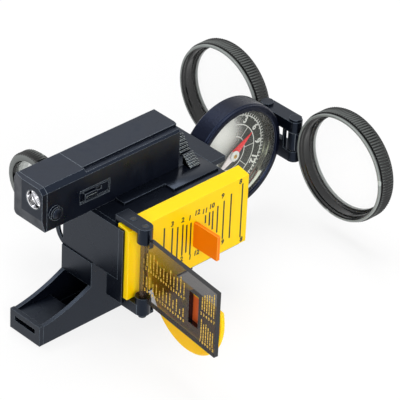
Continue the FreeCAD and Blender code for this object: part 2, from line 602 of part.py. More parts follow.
def torch():
    """Battery case with a sliding lid, a bezel in front, reflector, bulb, cell, contact and switch."""
    wall = TORCH_WALL
    y0, y1 = TORCH_NEAR_Y, TORCH_FAR_Y
    body_x = TORCH_START_X + BEZEL_T
    outer = prism(torch_section(body_x), vec(TORCH_END_X - body_x, 0, 0))
    end_cut = prism([vec(TORCH_END_X, y0, TORCH_Z), vec(TORCH_END_X - TORCH_END_CUT, y0, TORCH_Z),
                     vec(TORCH_END_X, y0 + TORCH_END_CUT_W, TORCH_Z)], vec(0, 0, TORCH_HEIGHT))
    outer = outer.cut(end_cut)
    lid_z = TORCH_TOP_Z - LID_T
    well_x = TORCH_START_X + LAMP_DEPTH
    well_end = TORCH_END_X - TORCH_END_CUT - wall
    well = box(well_x, well_end, y0 + wall, y1 - wall, TORCH_Z + wall, lid_z)
    lid_x = TORCH_START_X + LID_START
    ledge_z = TORCH_TOP_Z - LID_STEP
    ledge_y = y0 + TORCH_CHAMFER + LID_INSET
    lid_zone = fused([box(lid_x, TORCH_END_X, ledge_y, y1, lid_z, TORCH_TOP_Z),
                      box(lid_x, TORCH_END_X, y0, ledge_y, ledge_z, TORCH_TOP_Z)])
    recess_x = TORCH_START_X + SWITCH_RECESS_START
    recess_z = TORCH_Z + SWITCH_RECESS_RISE
    mid_z = recess_z + SWITCH_RECESS_H / 2.0
    recess = box(recess_x, recess_x + SWITCH_RECESS_L, y0, y0 + SWITCH_RECESS_D, recess_z, recess_z + SWITCH_RECESS_H)
    switch_x = recess_x + SWITCH_START
    stem_x0 = switch_x + SWITCH_STEM_INSET
    stem_x1 = switch_x + SWITCH_L - SWITCH_STEM_INSET
    half_slot = SWITCH_STEM_H / 2.0 + SWITCH_CLEAR
    track = box(stem_x0 - SWITCH_CLEAR, stem_x1 + SWITCH_TRAVEL + SWITCH_CLEAR, y0, y0 + wall,
                mid_z - half_slot, mid_z + half_slot)
    lamp_base = vec(body_x, REFLECTOR_Y, REFLECTOR_Z)
    lamp = rod(REFLECTOR_R, REFLECTOR_DEPTH, lamp_base, X_AXIS)
    flange_r = BULB_R + BULB_FLANGE
    socket = rod(flange_r, well_x - body_x, lamp_base, X_AXIS)
    case = outer.cut(well).cut(lid_zone).cut(recess).cut(track).cut(lamp).cut(socket)
    boss = rod(BOSS_R, BOSS_H, vec(TORCH_START_X + BOSS_START, y0 - BOSS_H, TORCH_Z + BOSS_RISE), Y_AXIS)
    save(fused([case, boss]), "torch_case")

    lid_shape = box(lid_x, TORCH_END_X, ledge_y, y1, lid_z, TORCH_TOP_Z)
    save(outer.common(lid_shape), "battery_lid")

    panel_y = y0 + PANEL_WIDTH
    panel_z = TORCH_Z + PANEL_RISE
    bezel = prism(torch_section(TORCH_START_X), vec(BEZEL_T, 0, 0))
    far_bevel = prism([vec(TORCH_START_X, panel_y, TORCH_Z), vec(TORCH_START_X, y1, TORCH_Z),
                       vec(TORCH_START_X + BEZEL_BEVEL, y1, TORCH_Z)], vec(0, 0, TORCH_HEIGHT))
    low_bevel = prism([vec(TORCH_START_X, y0, panel_z), vec(TORCH_START_X, y0, TORCH_Z),
                       vec(TORCH_START_X + BEZEL_BEVEL, y0, TORCH_Z)], vec(0, TORCH_WIDTH, 0))
    bezel = bezel.cut(far_bevel).cut(low_bevel)
    bezel = bezel.cut(rod(REFLECTOR_R, BEZEL_T, vec(TORCH_START_X, REFLECTOR_Y, REFLECTOR_Z), X_AXIS))
    save(bezel, "torch_bezel")

    cup_base = lamp_base + vec(REFLECTOR_DEPTH, 0, 0)
    t = REFLECTOR_WALL
    cup = taper(flange_r + t, REFLECTOR_R, REFLECTOR_DEPTH, cup_base, FRONT_AXIS, CUP_SIDES)
    save(cup.cut(taper(flange_r, REFLECTOR_R - t, REFLECTOR_DEPTH, cup_base, FRONT_AXIS, CUP_SIDES)), "reflector")
    tip = BULB_R / 2.0
    bulb = turned([(0, 0), (flange_r, 0), (flange_r, BULB_FLANGE_T), (BULB_R, BULB_FLANGE_T),
                   (BULB_R, BULB_LENGTH - tip), (tip, BULB_LENGTH), (0, BULB_LENGTH)],
                  cup_base + vec(BULB_FLANGE_T, 0, 0), FRONT_AXIS)
    save(bulb, "bulb")

    cell_x = well_x + CELL_START_GAP
    cell_end = well_end - CELL_END_GAP
    centre_y = (y0 + y1) / 2.0
    cell_z = TORCH_Z + wall + CELL_R + CELL_CLEAR
    cell = fused([rod(CELL_R, cell_end - cell_x, vec(cell_x, centre_y, cell_z), X_AXIS),
                  rod(CELL_NUB_R, CELL_NUB_L, vec(cell_x - CELL_NUB_L, centre_y, cell_z), X_AXIS)])
    save(cell, "battery_cell")
    floor_z = TORCH_Z + wall
    contact = box(cell_end, cell_end + CONTACT_T, y0 + wall + CONTACT_INSET, y1 - wall - CONTACT_INSET,
                  floor_z, cell_z + CELL_R - CONTACT_INSET)
    foot = box(cell_end, well_end, y0 + wall + FOOT_INSET, y1 - wall - FOOT_INSET, floor_z, floor_z + CONTACT_T)
    save(fused([contact, foot]), "cell_contact")

    knob = fused([
        box(switch_x, switch_x + SWITCH_L, y0 - SWITCH_PROUD, y0 + SWITCH_RECESS_D - PIN_CLEAR,
            mid_z - SWITCH_H / 2.0, mid_z + SWITCH_H / 2.0),
        box(stem_x0, stem_x1, y0, y0 + wall - SWITCH_CLEAR, mid_z - SWITCH_STEM_H / 2.0, mid_z + SWITCH_STEM_H / 2.0)])
    save(knob, "torch_switch")


# ---------------------------------------------------------------- lens group
def group_bracket():
    """Lugs on the housing's end for the lens group, and the pin that joins them."""
    reach_x = HOUSING_END_X + BRACKET_REACH
    near_y = HOUSING_NEAR_Y + BRACKET_NEAR_INSET
    far_y = SHOULDER_Y - BRACKET_FAR_INSET
    web_x = HOUSING_END_X + BRACKET_WEB_T
    pin_base = vec(GROUP_PIN_X, GROUP_PIN_Y, HOUSING_BOTTOM_Z)
    bracket = fused([
        rod(GROUP_LUG_R, BRACKET_T, pin_base, Z_AXIS),
        box(HOUSING_END_X, GROUP_PIN_X, GROUP_PIN_Y - GROUP_LUG_R, GROUP_PIN_Y + GROUP_LUG_R,
            HOUSING_BOTTOM_Z, HOUSING_BOTTOM_Z + BRACKET_T),
        box(HOUSING_END_X, reach_x, near_y, far_y, HOUSING_TOP_Z - BRACKET_T, HOUSING_TOP_Z),
        box(HOUSING_END_X, web_x, near_y, GROUP_PIN_Y - GROUP_LUG_R, HOUSING_BOTTOM_Z, HOUSING_TOP_Z)])
    pin = rod(GROUP_PIN_R, HOUSING_HEIGHT, pin_base, Z_AXIS)
    save(bracket.cut(pin), "group_bracket")
    save(pin, "group_pin")


def compass():
    """Compass case with its hinge barrel, back, dial, pivot, needle and window."""
    base = vec(COMPASS_X, COMPASS_FRONT_Y, COMPASS_Z)
    far_y = COMPASS_FRONT_Y + COMPASS_T
    floor_y = COMPASS_T - COMPASS_BACK_T
    ring = disc(COMPASS_R, COMPASS_T, base, Y_AXIS).cut(disc(COMPASS_BORE_R, floor_y, base, Y_AXIS))
    z0 = HOUSING_BOTTOM_Z + BRACKET_T + AXIAL_GAP
    z1 = HOUSING_TOP_Z - BRACKET_T - AXIAL_GAP
    barrel = rod(GROUP_BARREL_R, z1 - z0, vec(GROUP_PIN_X, GROUP_PIN_Y, z0), Z_AXIS)
    arm = prism([vec(GROUP_PIN_X - ARM_ROOT, GROUP_PIN_Y, z0), vec(GROUP_PIN_X + ARM_ROOT, GROUP_PIN_Y, z0),
                 vec(GROUP_PIN_X + GROUP_BARREL_R, far_y, z0), vec(GROUP_PIN_X + ARM_LENGTH, far_y, z0),
                 vec(GROUP_PIN_X + ARM_LENGTH, COMPASS_FRONT_Y + ARM_INSET, z0),
                 vec(GROUP_PIN_X + ARM_ROOT, COMPASS_FRONT_Y + ARM_INSET, z0)], vec(0, 0, z1 - z0))
    core = disc(COMPASS_R - COMPASS_GROOVE, COMPASS_T + 2 * COMPASS_R, base - vec(0, COMPASS_R, 0), Y_AXIS)
    bore = rod(GROUP_PIN_R + PIN_CLEAR, z1 - z0, vec(GROUP_PIN_X, GROUP_PIN_Y, z0), Z_AXIS)
    stem = box(COMPASS_X, RING_PIN_X - RING_LUG_R, far_y - COMPASS_GROOVE - STEM_T, far_y - COMPASS_GROOVE,
               RING_Z - STEM_HALF_H, RING_Z + STEM_HALF_H)
    save(fused([ring, barrel, arm.cut(core), stem.cut(core)]).cut(bore), "compass_case")

    dial_y = floor_y - DIAL_DISC_T
    save(disc(COMPASS_BORE_R, DIAL_DISC_T, base + vec(0, dial_y, 0), Y_AXIS), "compass_dial")
    save(rod(PIVOT_R, PIVOT_H, base + vec(0, dial_y, 0), vec(0, -1, 0)), "compass_pivot")
    tilt = math.radians(NEEDLE_DEG)
    along = vec(math.cos(tilt), 0, math.sin(tilt))
    across = vec(-math.sin(tilt), 0, math.cos(tilt))
    centre = base + vec(0, dial_y - NEEDLE_LIFT, 0)
    blade = prism([centre + along * (NEEDLE_LENGTH / 2.0), centre + across * (NEEDLE_WIDTH / 2.0),
                   centre - along * (NEEDLE_LENGTH / 2.0), centre - across * (NEEDLE_WIDTH / 2.0)],
                  vec(0, NEEDLE_T, 0))
    hub_base = centre + vec(0, NEEDLE_T - NEEDLE_HUB_T, 0)
    hub = rod(NEEDLE_HUB_R, NEEDLE_HUB_T, hub_base, Y_AXIS)
    socket = rod(PIVOT_R + PIVOT_CLEAR, NEEDLE_SOCKET, centre + vec(0, NEEDLE_T - NEEDLE_SOCKET, 0), Y_AXIS)
    save(fused([blade, hub]).cut(socket), "compass_needle")
    save(disc(COMPASS_BORE_R, WINDOW_T, base + vec(0, WINDOW_LEDGE, 0), Y_AXIS), "compass_window")


def bridge():
    """Channel-shaped cross bar beyond the compass with a clevis at each end for a lens ring, and its pins."""
    x0 = RING_PIN_X - RING_LUG_R
    pins = (RING_NEAR_Y + RING_PIN_OFFSET, RING_FAR_Y - RING_PIN_OFFSET)
    half = RING_BARREL_H / 2.0
    bar_near = pins[0] + RING_BARREL_R + BRIDGE_GAP
    bar_far = pins[1] - RING_BARREL_R - BRIDGE_GAP
    low_z = RING_Z - half - LUG_H
    span = RING_BARREL_H + 2 * LUG_H
    shapes = [box(x0, x0 + BRIDGE_WEB_T, bar_near, bar_far, low_z, low_z + span)]
    for z in (low_z, RING_Z + half):
        shapes.append(box(x0, x0 + BRIDGE_T, pins[0], pins[1], z, z + LUG_H))
        for y in pins:
            shapes.append(rod(RING_LUG_R, LUG_H, vec(RING_PIN_X, y, z), Z_AXIS))
    window_y = bar_near + BRIDGE_WINDOW_EDGE
    block = fused(shapes).cut(box(x0, x0 + BRIDGE_WEB_T, window_y, window_y + BRIDGE_WINDOW_W,
                                  RING_Z + half - BRIDGE_WINDOW_H, RING_Z + half))
    for y in pins:
        block = block.cut(rod(RING_PIN_R, span, vec(RING_PIN_X, y, low_z), Z_AXIS))
    save(block, "bridge_block")
    for name, y in (("right_ring_pin", pins[0]), ("left_ring_pin", pins[1])):
        pin = fused([rod(RING_PIN_R, span, vec(RING_PIN_X, y, low_z), Z_AXIS),
                     rod(RING_PIN_R + PIN_HEAD, PIN_HEAD_T, vec(RING_PIN_X, y, low_z + span), Z_AXIS)])
        save(pin, name)


def objective(side, name_ring, name_lens):
    """One folding lens ring, knurled round its rim, with its hinge barrel, and the lens in it."""
    centre_y = RING_NEAR_Y if side < 0 else RING_FAR_Y
    pin_y = centre_y - side * RING_PIN_OFFSET
    base = vec(RING_X, centre_y, RING_Z)
    half = RING_BARREL_H / 2.0 - AXIAL_GAP
    root = RING_R - KNURL_DEPTH
    rim = disc(root, RING_RIM, base, X_AXIS)
    band = disc(RING_R, RING_T - RING_RIM, base + vec(RING_RIM, 0, 0), X_AXIS, KNURL_DEPTH, 2 * RING_KNURLS)
    barrel = rod(RING_BARREL_R, 2 * half, vec(RING_PIN_X, pin_y, RING_Z - half), Z_AXIS)
    ends = (pin_y, pin_y + side * (RING_PIN_OFFSET - RING_BORE_R))
    arm = box(RING_PIN_X - RING_ARM_BACK, RING_PIN_X + RING_ARM_FRONT, min(ends), max(ends),
              RING_Z - half, RING_Z + half)
    lens_x = RING_X + RING_T - LENS_LEDGE_T
    inside = disc(RING_BORE_R, RING_T - LENS_LEDGE_T, base, X_AXIS)
    sight = disc(RING_BORE_R - LENS_LEDGE, RING_T, base, X_AXIS)
    bore = rod(RING_PIN_R + PIN_CLEAR, 2 * half, vec(RING_PIN_X, pin_y, RING_Z - half), Z_AXIS)
    save(fused([rim, band, barrel, arm]).cut(inside).cut(sight).cut(bore), name_ring)
    save(lens(RING_BORE_R, LENS_EDGE, LENS_BULGE, vec(lens_x - LENS_EDGE, centre_y, RING_Z), X_AXIS), name_lens)


# ---------------------------------------------------------------- eyepiece
def eyepiece():
    """Folding eyepiece on a clevis at the shoulder's outer corner."""
    half = EYE_ARM_H / 2.0
    web_x = SHOULDER_X + EYE_WEB_START
    end_x = SHOULDER_X + EYE_LUG_REACH
    lugs = []
    for z in (RING_Z - half - EYE_LUG_T, RING_Z + half):
        lugs.append(rod(EYE_LUG_R, EYE_LUG_T, vec(EYE_PIN_X, EYE_PIN_Y, z), Z_AXIS))
        lugs.append(box(EYE_PIN_X, end_x, SHOULDER_Y, EYE_PIN_Y + EYE_LUG_R, z, z + EYE_LUG_T))
    span = EYE_ARM_H + 2 * EYE_LUG_T
    pin_base = vec(EYE_PIN_X, EYE_PIN_Y, RING_Z - half - EYE_LUG_T)
    lugs.append(box(web_x, end_x, SHOULDER_Y, SHOULDER_Y + EYE_WEB_T, pin_base.z, pin_base.z + span))
    pin = rod(EYE_PIN_R, span, pin_base, Z_AXIS)
    save(fused(lugs).cut(pin), "eyepiece_bracket")
    save(pin, "eyepiece_pin")

    base = vec(EYEPIECE_X, EYEPIECE_Y, RING_Z)
    rim = disc(EYEPIECE_R - KNURL_DEPTH, EYEPIECE_RIM, base, X_AXIS)
    band = disc(EYEPIECE_R, EYEPIECE_BAND - EYEPIECE_RIM, base + vec(EYEPIECE_RIM, 0, 0), X_AXIS,
                KNURL_DEPTH, 2 * EYEPIECE_KNURLS)
    collar = disc(EYEPIECE_COLLAR_R, EYEPIECE_COLLAR_L, base + vec(EYEPIECE_BAND, 0, 0), X_AXIS)
    free = half - AXIAL_GAP
    low_z = RING_Z - free
    barrel = rod(EYE_BARREL_R, 2 * free, vec(EYE_PIN_X, EYE_PIN_Y, low_z), Z_AXIS)
    arm_y = EYEPIECE_Y - EYEPIECE_R + EYE_ARM_SINK
    arm = prism([vec(EYE_PIN_X - EYE_BARREL_R, EYE_PIN_Y, low_z),
                 vec(EYE_PIN_X + EYE_ARM_TAPER, EYE_PIN_Y + EYE_ARM_SINK, low_z),
                 vec(EYEPIECE_X + EYEPIECE_BAND - EYE_ARM_TAPER, arm_y, low_z),
                 vec(EYEPIECE_X + EYE_ARM_START, arm_y, low_z)], vec(0, 0, 2 * free))
    hollow = disc(EYEPIECE_BORE_R, EYEPIECE_BAND + EYEPIECE_COLLAR_L, base, X_AXIS)
    bore = rod(EYE_PIN_R + PIN_CLEAR, 2 * free, vec(EYE_PIN_X, EYE_PIN_Y, low_z), Z_AXIS)
    save(fused([rim, band, collar, barrel, arm]).cut(hollow).cut(bore), "eyepiece_ring")
    save(lens(EYEPIECE_BORE_R, LENS_EDGE, LENS_BULGE, base + vec(EYEPIECE_LENS_IN, 0, 0), X_AXIS), "eyepiece_lens")


whistle()
housing()
sundial()
card()
torch()
group_bracket()
compass()
bridge()
objective(-1, "right_objective_ring", "right_objective_lens")
objective(1, "left_objective_ring", "left_objective_lens")
eyepiece()
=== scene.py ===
"""Pocket map measurer with code card, compass, lenses, sundial, torch and whistle: finishes and fine parts.

Sizes and places are in millimetres in the row frame, and every shape is made in metres.
"""

from __future__ import annotations

import logging
import math
from dataclasses import dataclass
from enum import Enum

import bmesh
import bpy
from mathutils import Matrix, Vector

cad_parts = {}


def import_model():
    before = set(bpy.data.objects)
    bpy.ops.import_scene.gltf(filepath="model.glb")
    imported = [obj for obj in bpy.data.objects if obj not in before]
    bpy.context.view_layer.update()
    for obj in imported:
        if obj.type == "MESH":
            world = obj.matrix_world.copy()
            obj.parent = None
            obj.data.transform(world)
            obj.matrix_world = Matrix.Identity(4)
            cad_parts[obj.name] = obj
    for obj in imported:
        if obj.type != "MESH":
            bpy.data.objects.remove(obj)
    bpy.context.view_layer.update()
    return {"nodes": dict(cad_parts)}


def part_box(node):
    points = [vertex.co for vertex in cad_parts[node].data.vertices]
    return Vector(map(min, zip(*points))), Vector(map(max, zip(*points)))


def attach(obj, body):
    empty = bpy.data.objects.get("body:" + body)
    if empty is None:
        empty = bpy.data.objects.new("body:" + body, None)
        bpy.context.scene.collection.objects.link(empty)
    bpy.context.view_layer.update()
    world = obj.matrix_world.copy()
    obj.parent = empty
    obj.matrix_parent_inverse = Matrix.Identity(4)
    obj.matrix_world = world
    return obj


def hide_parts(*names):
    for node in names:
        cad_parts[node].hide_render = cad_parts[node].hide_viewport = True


LOG = logging.getLogger("map_measurer")
MM = 0.001
AXIS_X = Vector((1.0, 0.0, 0.0))
AXIS_Y = Vector((0.0, 1.0, 0.0))
AXIS_Z = Vector((0.0, 0.0, 1.0))
HERE = Matrix.Identity(4)
WHITE = (1.0, 1.0, 1.0, 1.0)

Point = tuple[float, float, float]
Pair = tuple[float, float]
Shape = bmesh.types.BMesh
Tree = bpy.types.NodeTree
Node = bpy.types.Node
Socket = bpy.types.NodeSocket

# the card's hinge axis, and how far the card stands open from square
CARD_HINGE = (-7.2, -26.3)
CARD_OPEN_DEG = 6.0
# the middle of the compass's front face, and how far its needle leans from level
COMPASS_CENTRE = (59.85, 0.75, 28.0)
NEEDLE_LEAN_DEG = 35.0
# the height of all lens axes, the bridge's middle, its pins' distance from there and a ring's from its pin
LENS_Z = 27.5
BRIDGE_Y = 4.85
PIN_SPREAD = 6.7
RING_REACH = 22.0
# the eyepiece ring's axis and front
EYEPIECE_X = -2.6
EYEPIECE_Y = 33.8
# the torch's near side
TORCH_SIDE_Y = -5.8
# how far printed ink stands proud, and how much smaller a lens is than its bore
INK_FILM = 0.04
LENS_SLACK = 0.04
# how strongly clear acrylic and styrene bend light
CLEAR_IOR = 1.49


# ---------------------------------------------------------------- shader helpers
def linear(hex_code: str) -> tuple[float, float, float, float]:
    """Turn an sRGB hex colour to the linear values that shaders use.

    Args:
        hex_code: six hex digits after a hash.

    Returns:
        Red, green, blue and full alpha, linear.
    """
    values = [int(hex_code[i:i + 2], 16) / 255.0 for i in (1, 3, 5)]
    bent = [v / 12.92 if v <= 0.04045 else ((v + 0.055) / 1.055) ** 2.4 for v in values]
    return bent[0], bent[1], bent[2], 1.0


def fill(node: Node, values: dict) -> None:
    """Set or link a node's attributes and sockets.

    Args:
        node: the node.
        values: plain values, or the outputs to link, by attribute name, socket name or socket number.
    """
    for key, value in values.items():
        if isinstance(value, Socket):
            node.id_data.links.new(value, node.inputs[key])
        elif isinstance(key, str) and hasattr(node, key):
            setattr(node, key, value)
        else:
            node.inputs[key].default_value = value


def add_node(tree: Tree, kind: str, values: dict | None = None) -> Node:
    """Add one shader node.

    Args:
        tree: the node tree.
        kind: the node's type name.
        values: what fill sets on it.

    Returns:
        The new node.
    """
    node = tree.nodes.new(kind)
    fill(node, values or {})
    return node


def noise(tree: Tree, where: Socket, size_mm: float, detail: float, roughness: float = 0.5) -> Socket:
    """Add a cloudy pattern.

    Args:
        tree: the node tree.
        where: the coordinates that it is laid out in.
        size_mm: the size of its clouds, in mm.
        detail: how many finer layers it has.
        roughness: how strong the finer layers are.

    Returns:
        The pattern, from nought to one.
    """
    values = {"Scale": 1.0 / (size_mm * MM), "Detail": detail, "Roughness": roughness, "Vector": where}
    return add_node(tree, "ShaderNodeTexNoise", values).outputs["Fac"]


def ranged(tree: Tree, value: Socket, start: float, end: float, low: float = 0.0, high: float = 1.0,
           curve: str = "LINEAR") -> Socket:
    """Stretch a value from one range to another, kept within it.

    Args:
        tree: the node tree.
        value: the value.
        start: where the result is at its low end.
        end: where the result is at its high end.
        low: the result's low end.
        high: the result's high end.
        curve: how the result goes from one end to the other.

    Returns:
        The result.
    """
    values = {"interpolation_type": curve, "From Min": start, "From Max": end, "To Min": low, "To Max": high,
              "Value": value}
    return add_node(tree, "ShaderNodeMapRange", values).outputs["Result"]


def blend(tree: Tree, share: Socket, first: str | Socket, second: str) -> Socket:
    """Go from one colour to another.

    Args:
        tree: the node tree.
        share: how much of the second colour there is.
        first: the first colour, as a hex code or an output.
        second: the second colour, as a hex code.

    Returns:
        The mixed colour.
    """
    start = linear(first) if isinstance(first, str) else first
    # a Mix node has a set of sockets for each kind of value, so the colours' ones are called by number
    values = {"data_type": "RGBA", 0: share, 6: start, 7: linear(second)}
    return add_node(tree, "ShaderNodeMix", values).outputs[2]


def sum_of(tree: Tree, operation: str, *inputs: float | Socket) -> Socket:
    """Work out one sum on plain values."""
    return add_node(tree, "ShaderNodeMath", {"operation": operation, **dict(enumerate(inputs))}).outputs[0]


def measure(tree: Tree, operation: str, first: Socket, second: Point | Socket) -> Socket:
    """Work out the distance or the dot product of two vectors."""
    values = {"operation": operation, 0: first, 1: second}
    return add_node(tree, "ShaderNodeVectorMath", values).outputs["Value"]


def relief(tree: Tree, height: Socket, strength: float, depth_mm: float,
           over: Socket | None = None) -> Socket:
    """Turn a pattern to fine relief.

    Args:
        tree: the node tree.
        height: the pattern.
        strength: how strongly it shows.
        depth_mm: its real depth, in mm.
        over: the normal that it lies on, if not the surface's own.

    Returns:
        The normal with the relief.
    """
    values = {"Strength": strength, "Distance": depth_mm * MM, "Height": height}
    if over is not None:
        values["Normal"] = over
    return add_node(tree, "ShaderNodeBump", values).outputs["Normal"]


def blank_material(name: str) -> tuple[bpy.types.Material, Tree, Node]:
    """Make a material that holds only a surface shader.

    Args:
        name: the material's name.

    Returns:
        The material, its node tree and its Principled shader.
    """
    material = bpy.data.materials.new(name)
    material.use_nodes = True
    tree = material.node_tree
    tree.nodes.clear()
    shader = add_node(tree, "ShaderNodeBsdfPrincipled")
    add_node(tree, "ShaderNodeOutputMaterial", {"Surface": shader.outputs["BSDF"]})
    return material, tree, shader


# ---------------------------------------------------------------- shape helpers
def rotated(degrees: float, axis: str) -> Matrix:
    """A turn about one of the frame's axes."""
    return Matrix.Rotation(math.radians(degrees), 4, axis)


def placed(centre: Point, axis: Vector = AXIS_Z) -> Matrix:
    """Where a shape made round the Z axis goes.

    Args:
        centre: the place of its origin, in mm.
        axis: the direction that its Z axis takes.

    Returns:
        The matrix, in metres.
    """
    return Matrix.Translation(Vector(centre) * MM) @ AXIS_Z.rotation_difference(axis).to_matrix().to_4x4()


def on_card(offset: float, along: float, height: float) -> Matrix:
    """Where a point of the card's leaf is: the leaf is square to the plate and then turned by its open angle.

    Args:
        offset: distance from the card's middle plane towards its back, in mm.
        along: distance from the hinge, in mm.
        height: height above the floor, in mm.

    Returns:
        The matrix, whose X runs to the card's back, Y towards the hinge and Z up.
    """
    return placed((*CARD_HINGE, 0.0)) @ rotated(-CARD_OPEN_DEG, "Z") @ placed((offset, -along, height))


def finished(shape: Shape, place: Matrix) -> Shape:
    """Turn a shape's faces outwards and put it in its place.

    Args:
        shape: the shape.
        place: its place.

    Returns:
        The same shape.
    """
    bmesh.ops.recalc_face_normals(shape, faces=shape.faces[:])
    bmesh.ops.transform(shape, matrix=place, verts=shape.verts[:])
    return shape


def soften(shape: Shape, round_mm: float) -> None:
    """Round all edges of a shape by so many mm."""
    if round_mm:
        bmesh.ops.bevel(shape, geom=shape.edges[:], offset=round_mm * MM, affect="EDGES", segments=2,
                        profile=0.5, material=-1)


def draw_up(shape: Shape, depth: float) -> None:
    """Draw a flat shape up to a solid one.

    Args:
        shape: the flat shape.
        depth: how thick it gets, in the shape's own unit.
    """
    made = bmesh.ops.extrude_face_region(shape, geom=shape.faces[:])
    raised = [v for v in made["geom"] if isinstance(v, bmesh.types.BMVert)]
    bmesh.ops.translate(shape, verts=raised, vec=(0.0, 0.0, depth))


def block(low: Point, high: Point, place: Matrix = HERE, round_mm: float = 0.0) -> Shape:
    """Make one block with softened edges.

    Args:
        low: its lowest corner, in mm.
        high: its highest corner, in mm.
        place: a further placing.
        round_mm: how far its edges are rounded, in mm.

    Returns:
        The block.
    """
    shape = bmesh.new()
    bmesh.ops.create_cube(shape, size=1.0)
    size = (Vector(high) - Vector(low)) * MM
    centre = (Vector(high) + Vector(low)) * 0.5 * MM
    matrix = Matrix.Translation(centre) @ Matrix.Diagonal((*size, 1.0))
    bmesh.ops.transform(shape, matrix=matrix, verts=shape.verts[:])
    soften(shape, round_mm)
    return finished(shape, place)


def slab(outline: list[Pair], low: float, high: float, place: Matrix = HERE, round_mm: float = 0.0) -> Shape:
    """Make one upright slab of a given outline.

    Args:
        outline: its corners in the XY plane, in mm.
        low: the height of its underside, in mm.
        high: the height of its top, in mm.
        place: a further placing.
        round_mm: how far its edges are rounded, in mm.

    Returns:
        The slab.
    """
    shape = bmesh.new()
    shape.faces.new([shape.verts.new((x * MM, y * MM, low * MM)) for x, y in outline])
    draw_up(shape, (high - low) * MM)
    bmesh.ops.recalc_face_normals(shape, faces=shape.faces[:])
    soften(shape, round_mm)
    return finished(shape, place)


@dataclass(frozen=True)
class Ribs:
    """A band of fine ribs round a turned shape: every second line of it is moved in or out."""

    radius: float
    shift: float
    low: float
    high: float


def turned(profile: list[Pair], place: Matrix, steps: int, ribs: tuple[Ribs, ...] = ()) -> Shape:
    """Make one turned shape, from a closed outline spun round its Z axis.

    Args:
        profile: its outline as (radius, height), in mm.
        place: its place in the row frame.
        steps: how many steps make the full turn.
        ribs: bands of ribs on it, of half as many ribs as steps.

    Returns:
        The shape.
    """
    shape = bmesh.new()
    verts = [shape.verts.new((r * MM, 0.0, h * MM)) for r, h in profile]
    edges = [shape.edges.new(pair) for pair in zip(verts, verts[1:] + verts[:1])]
    bmesh.ops.spin(shape, geom=verts + edges, cent=(0.0, 0.0, 0.0), axis=(0.0, 0.0, 1.0), angle=2.0 * math.pi,
                   steps=steps, use_merge=True)
    bmesh.ops.remove_doubles(shape, verts=shape.verts[:], dist=1e-7)
    for band in ribs:
        for v in shape.verts:
            radius = math.hypot(v.co.x, v.co.y) / MM
            step = round(math.atan2(v.co.y, v.co.x) / (2.0 * math.pi) * steps)
            if step % 2 and abs(radius - band.radius) < 0.001 and band.low <= v.co.z / MM <= band.high:
                share = (radius + band.shift) / radius
                v.co.x *= share
                v.co.y *= share
    return finished(shape, place)


def tube(bore: float, radius: float, low: float, high: float) -> list[Pair]:
    """The outline of a plain tube, to be turned."""
    return [(bore, low), (radius, low), (radius, high), (bore, high)]


def figures(text: str, height: float, place: Matrix, weight: float, slant: float = 0.0) -> Shape:
    """Make plain printed figures.

    Args:
        text: the figures.
        height: their height, in mm.
        place: puts the text's XY plane in the row frame.
        weight: how much bolder the strokes are, in mm.
        slant: how far the figures lean.

    Returns:
        The figures, as a film of ink.
    """
    cap_share = 0.7
    curve = bpy.data.curves.new("figures", "FONT")
    curve.body = text
    curve.size = height / cap_share
    curve.shear = slant
    curve.offset = weight
    curve.align_x = "CENTER"
    curve.align_y = "CENTER"
    curve.resolution_u = 2
    holder = bpy.data.objects.new("figures", curve)
    flat = bpy.data.meshes.new_from_object(holder)
    bpy.data.objects.remove(holder)
    shape = bmesh.new()
    shape.from_mesh(flat)
    bpy.data.meshes.remove(flat)
    bpy.data.curves.remove(curve)
    draw_up(shape, INK_FILM)
    bmesh.ops.transform(shape, matrix=Matrix.Scale(MM, 4), verts=shape.verts[:])
    return finished(shape, place)


def add_object(name: str, data: bpy.types.ID) -> bpy.types.Object:
    """Add an object to the scene.

    Args:
        name: its name.
        data: the mesh, lamp or camera that it shows.

    Returns:
        The object.
    """
    made = bpy.data.objects.new(name, data)
    bpy.context.scene.collection.objects.link(made)
    return made


def new_piece(name: str, parts: list[Shape], finish: Finish, body: str, stands_for: str = "",
              crease_deg: float = 32.0) -> None:
    """Join finished shapes to a scene object that rides on one of the model's bodies.

    Args:
        name: the object's name.
        parts: the shapes, in place. They are freed.
        finish: the surface finish.
        body: the body that the piece moves with.
        stands_for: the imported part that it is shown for, if any.
        crease_deg: edges bent more than this stay crisp.
    """
    whole = bmesh.new()
    for part in parts:
        carrier = bpy.data.meshes.new("carrier")
        part.to_mesh(carrier)
        part.free()
        whole.from_mesh(carrier)
        bpy.data.meshes.remove(carrier)
    mesh = bpy.data.meshes.new(name)
    whole.to_mesh(mesh)
    whole.free()
    mesh.shade_smooth()
    mesh.set_sharp_from_angle(angle=math.radians(crease_deg))
    mesh.materials.append(finish.get())
    piece = add_object(name, mesh)
    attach(piece, body)
    if stands_for:
        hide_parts(stands_for)
    LOG.info("%s rides on %s%s", name, body, " for " + stands_for if stands_for else "")


# ---------------------------------------------------------------- finishes
@dataclass(frozen=True)
class Surface:
    """One finish. Each kind of finish has its own way to paint a blank material."""

    name: str

    def material(self) -> bpy.types.Material:
        """Make the material, laid out in object coordinates so that all grain has its real size.

        Returns:
            The material.
        """
        material, tree, shader = blank_material(self.name)
        self.paint(tree, shader, add_node(tree, "ShaderNodeTexCoord").outputs["Object"])
        return material

    def paint(self, tree: Tree, shader: Node, where: Socket) -> None:
        """Paint the blank material.

        Args:
            tree: its node tree.
            shader: its surface shader.
            where: the object coordinates.
        """
        raise NotImplementedError


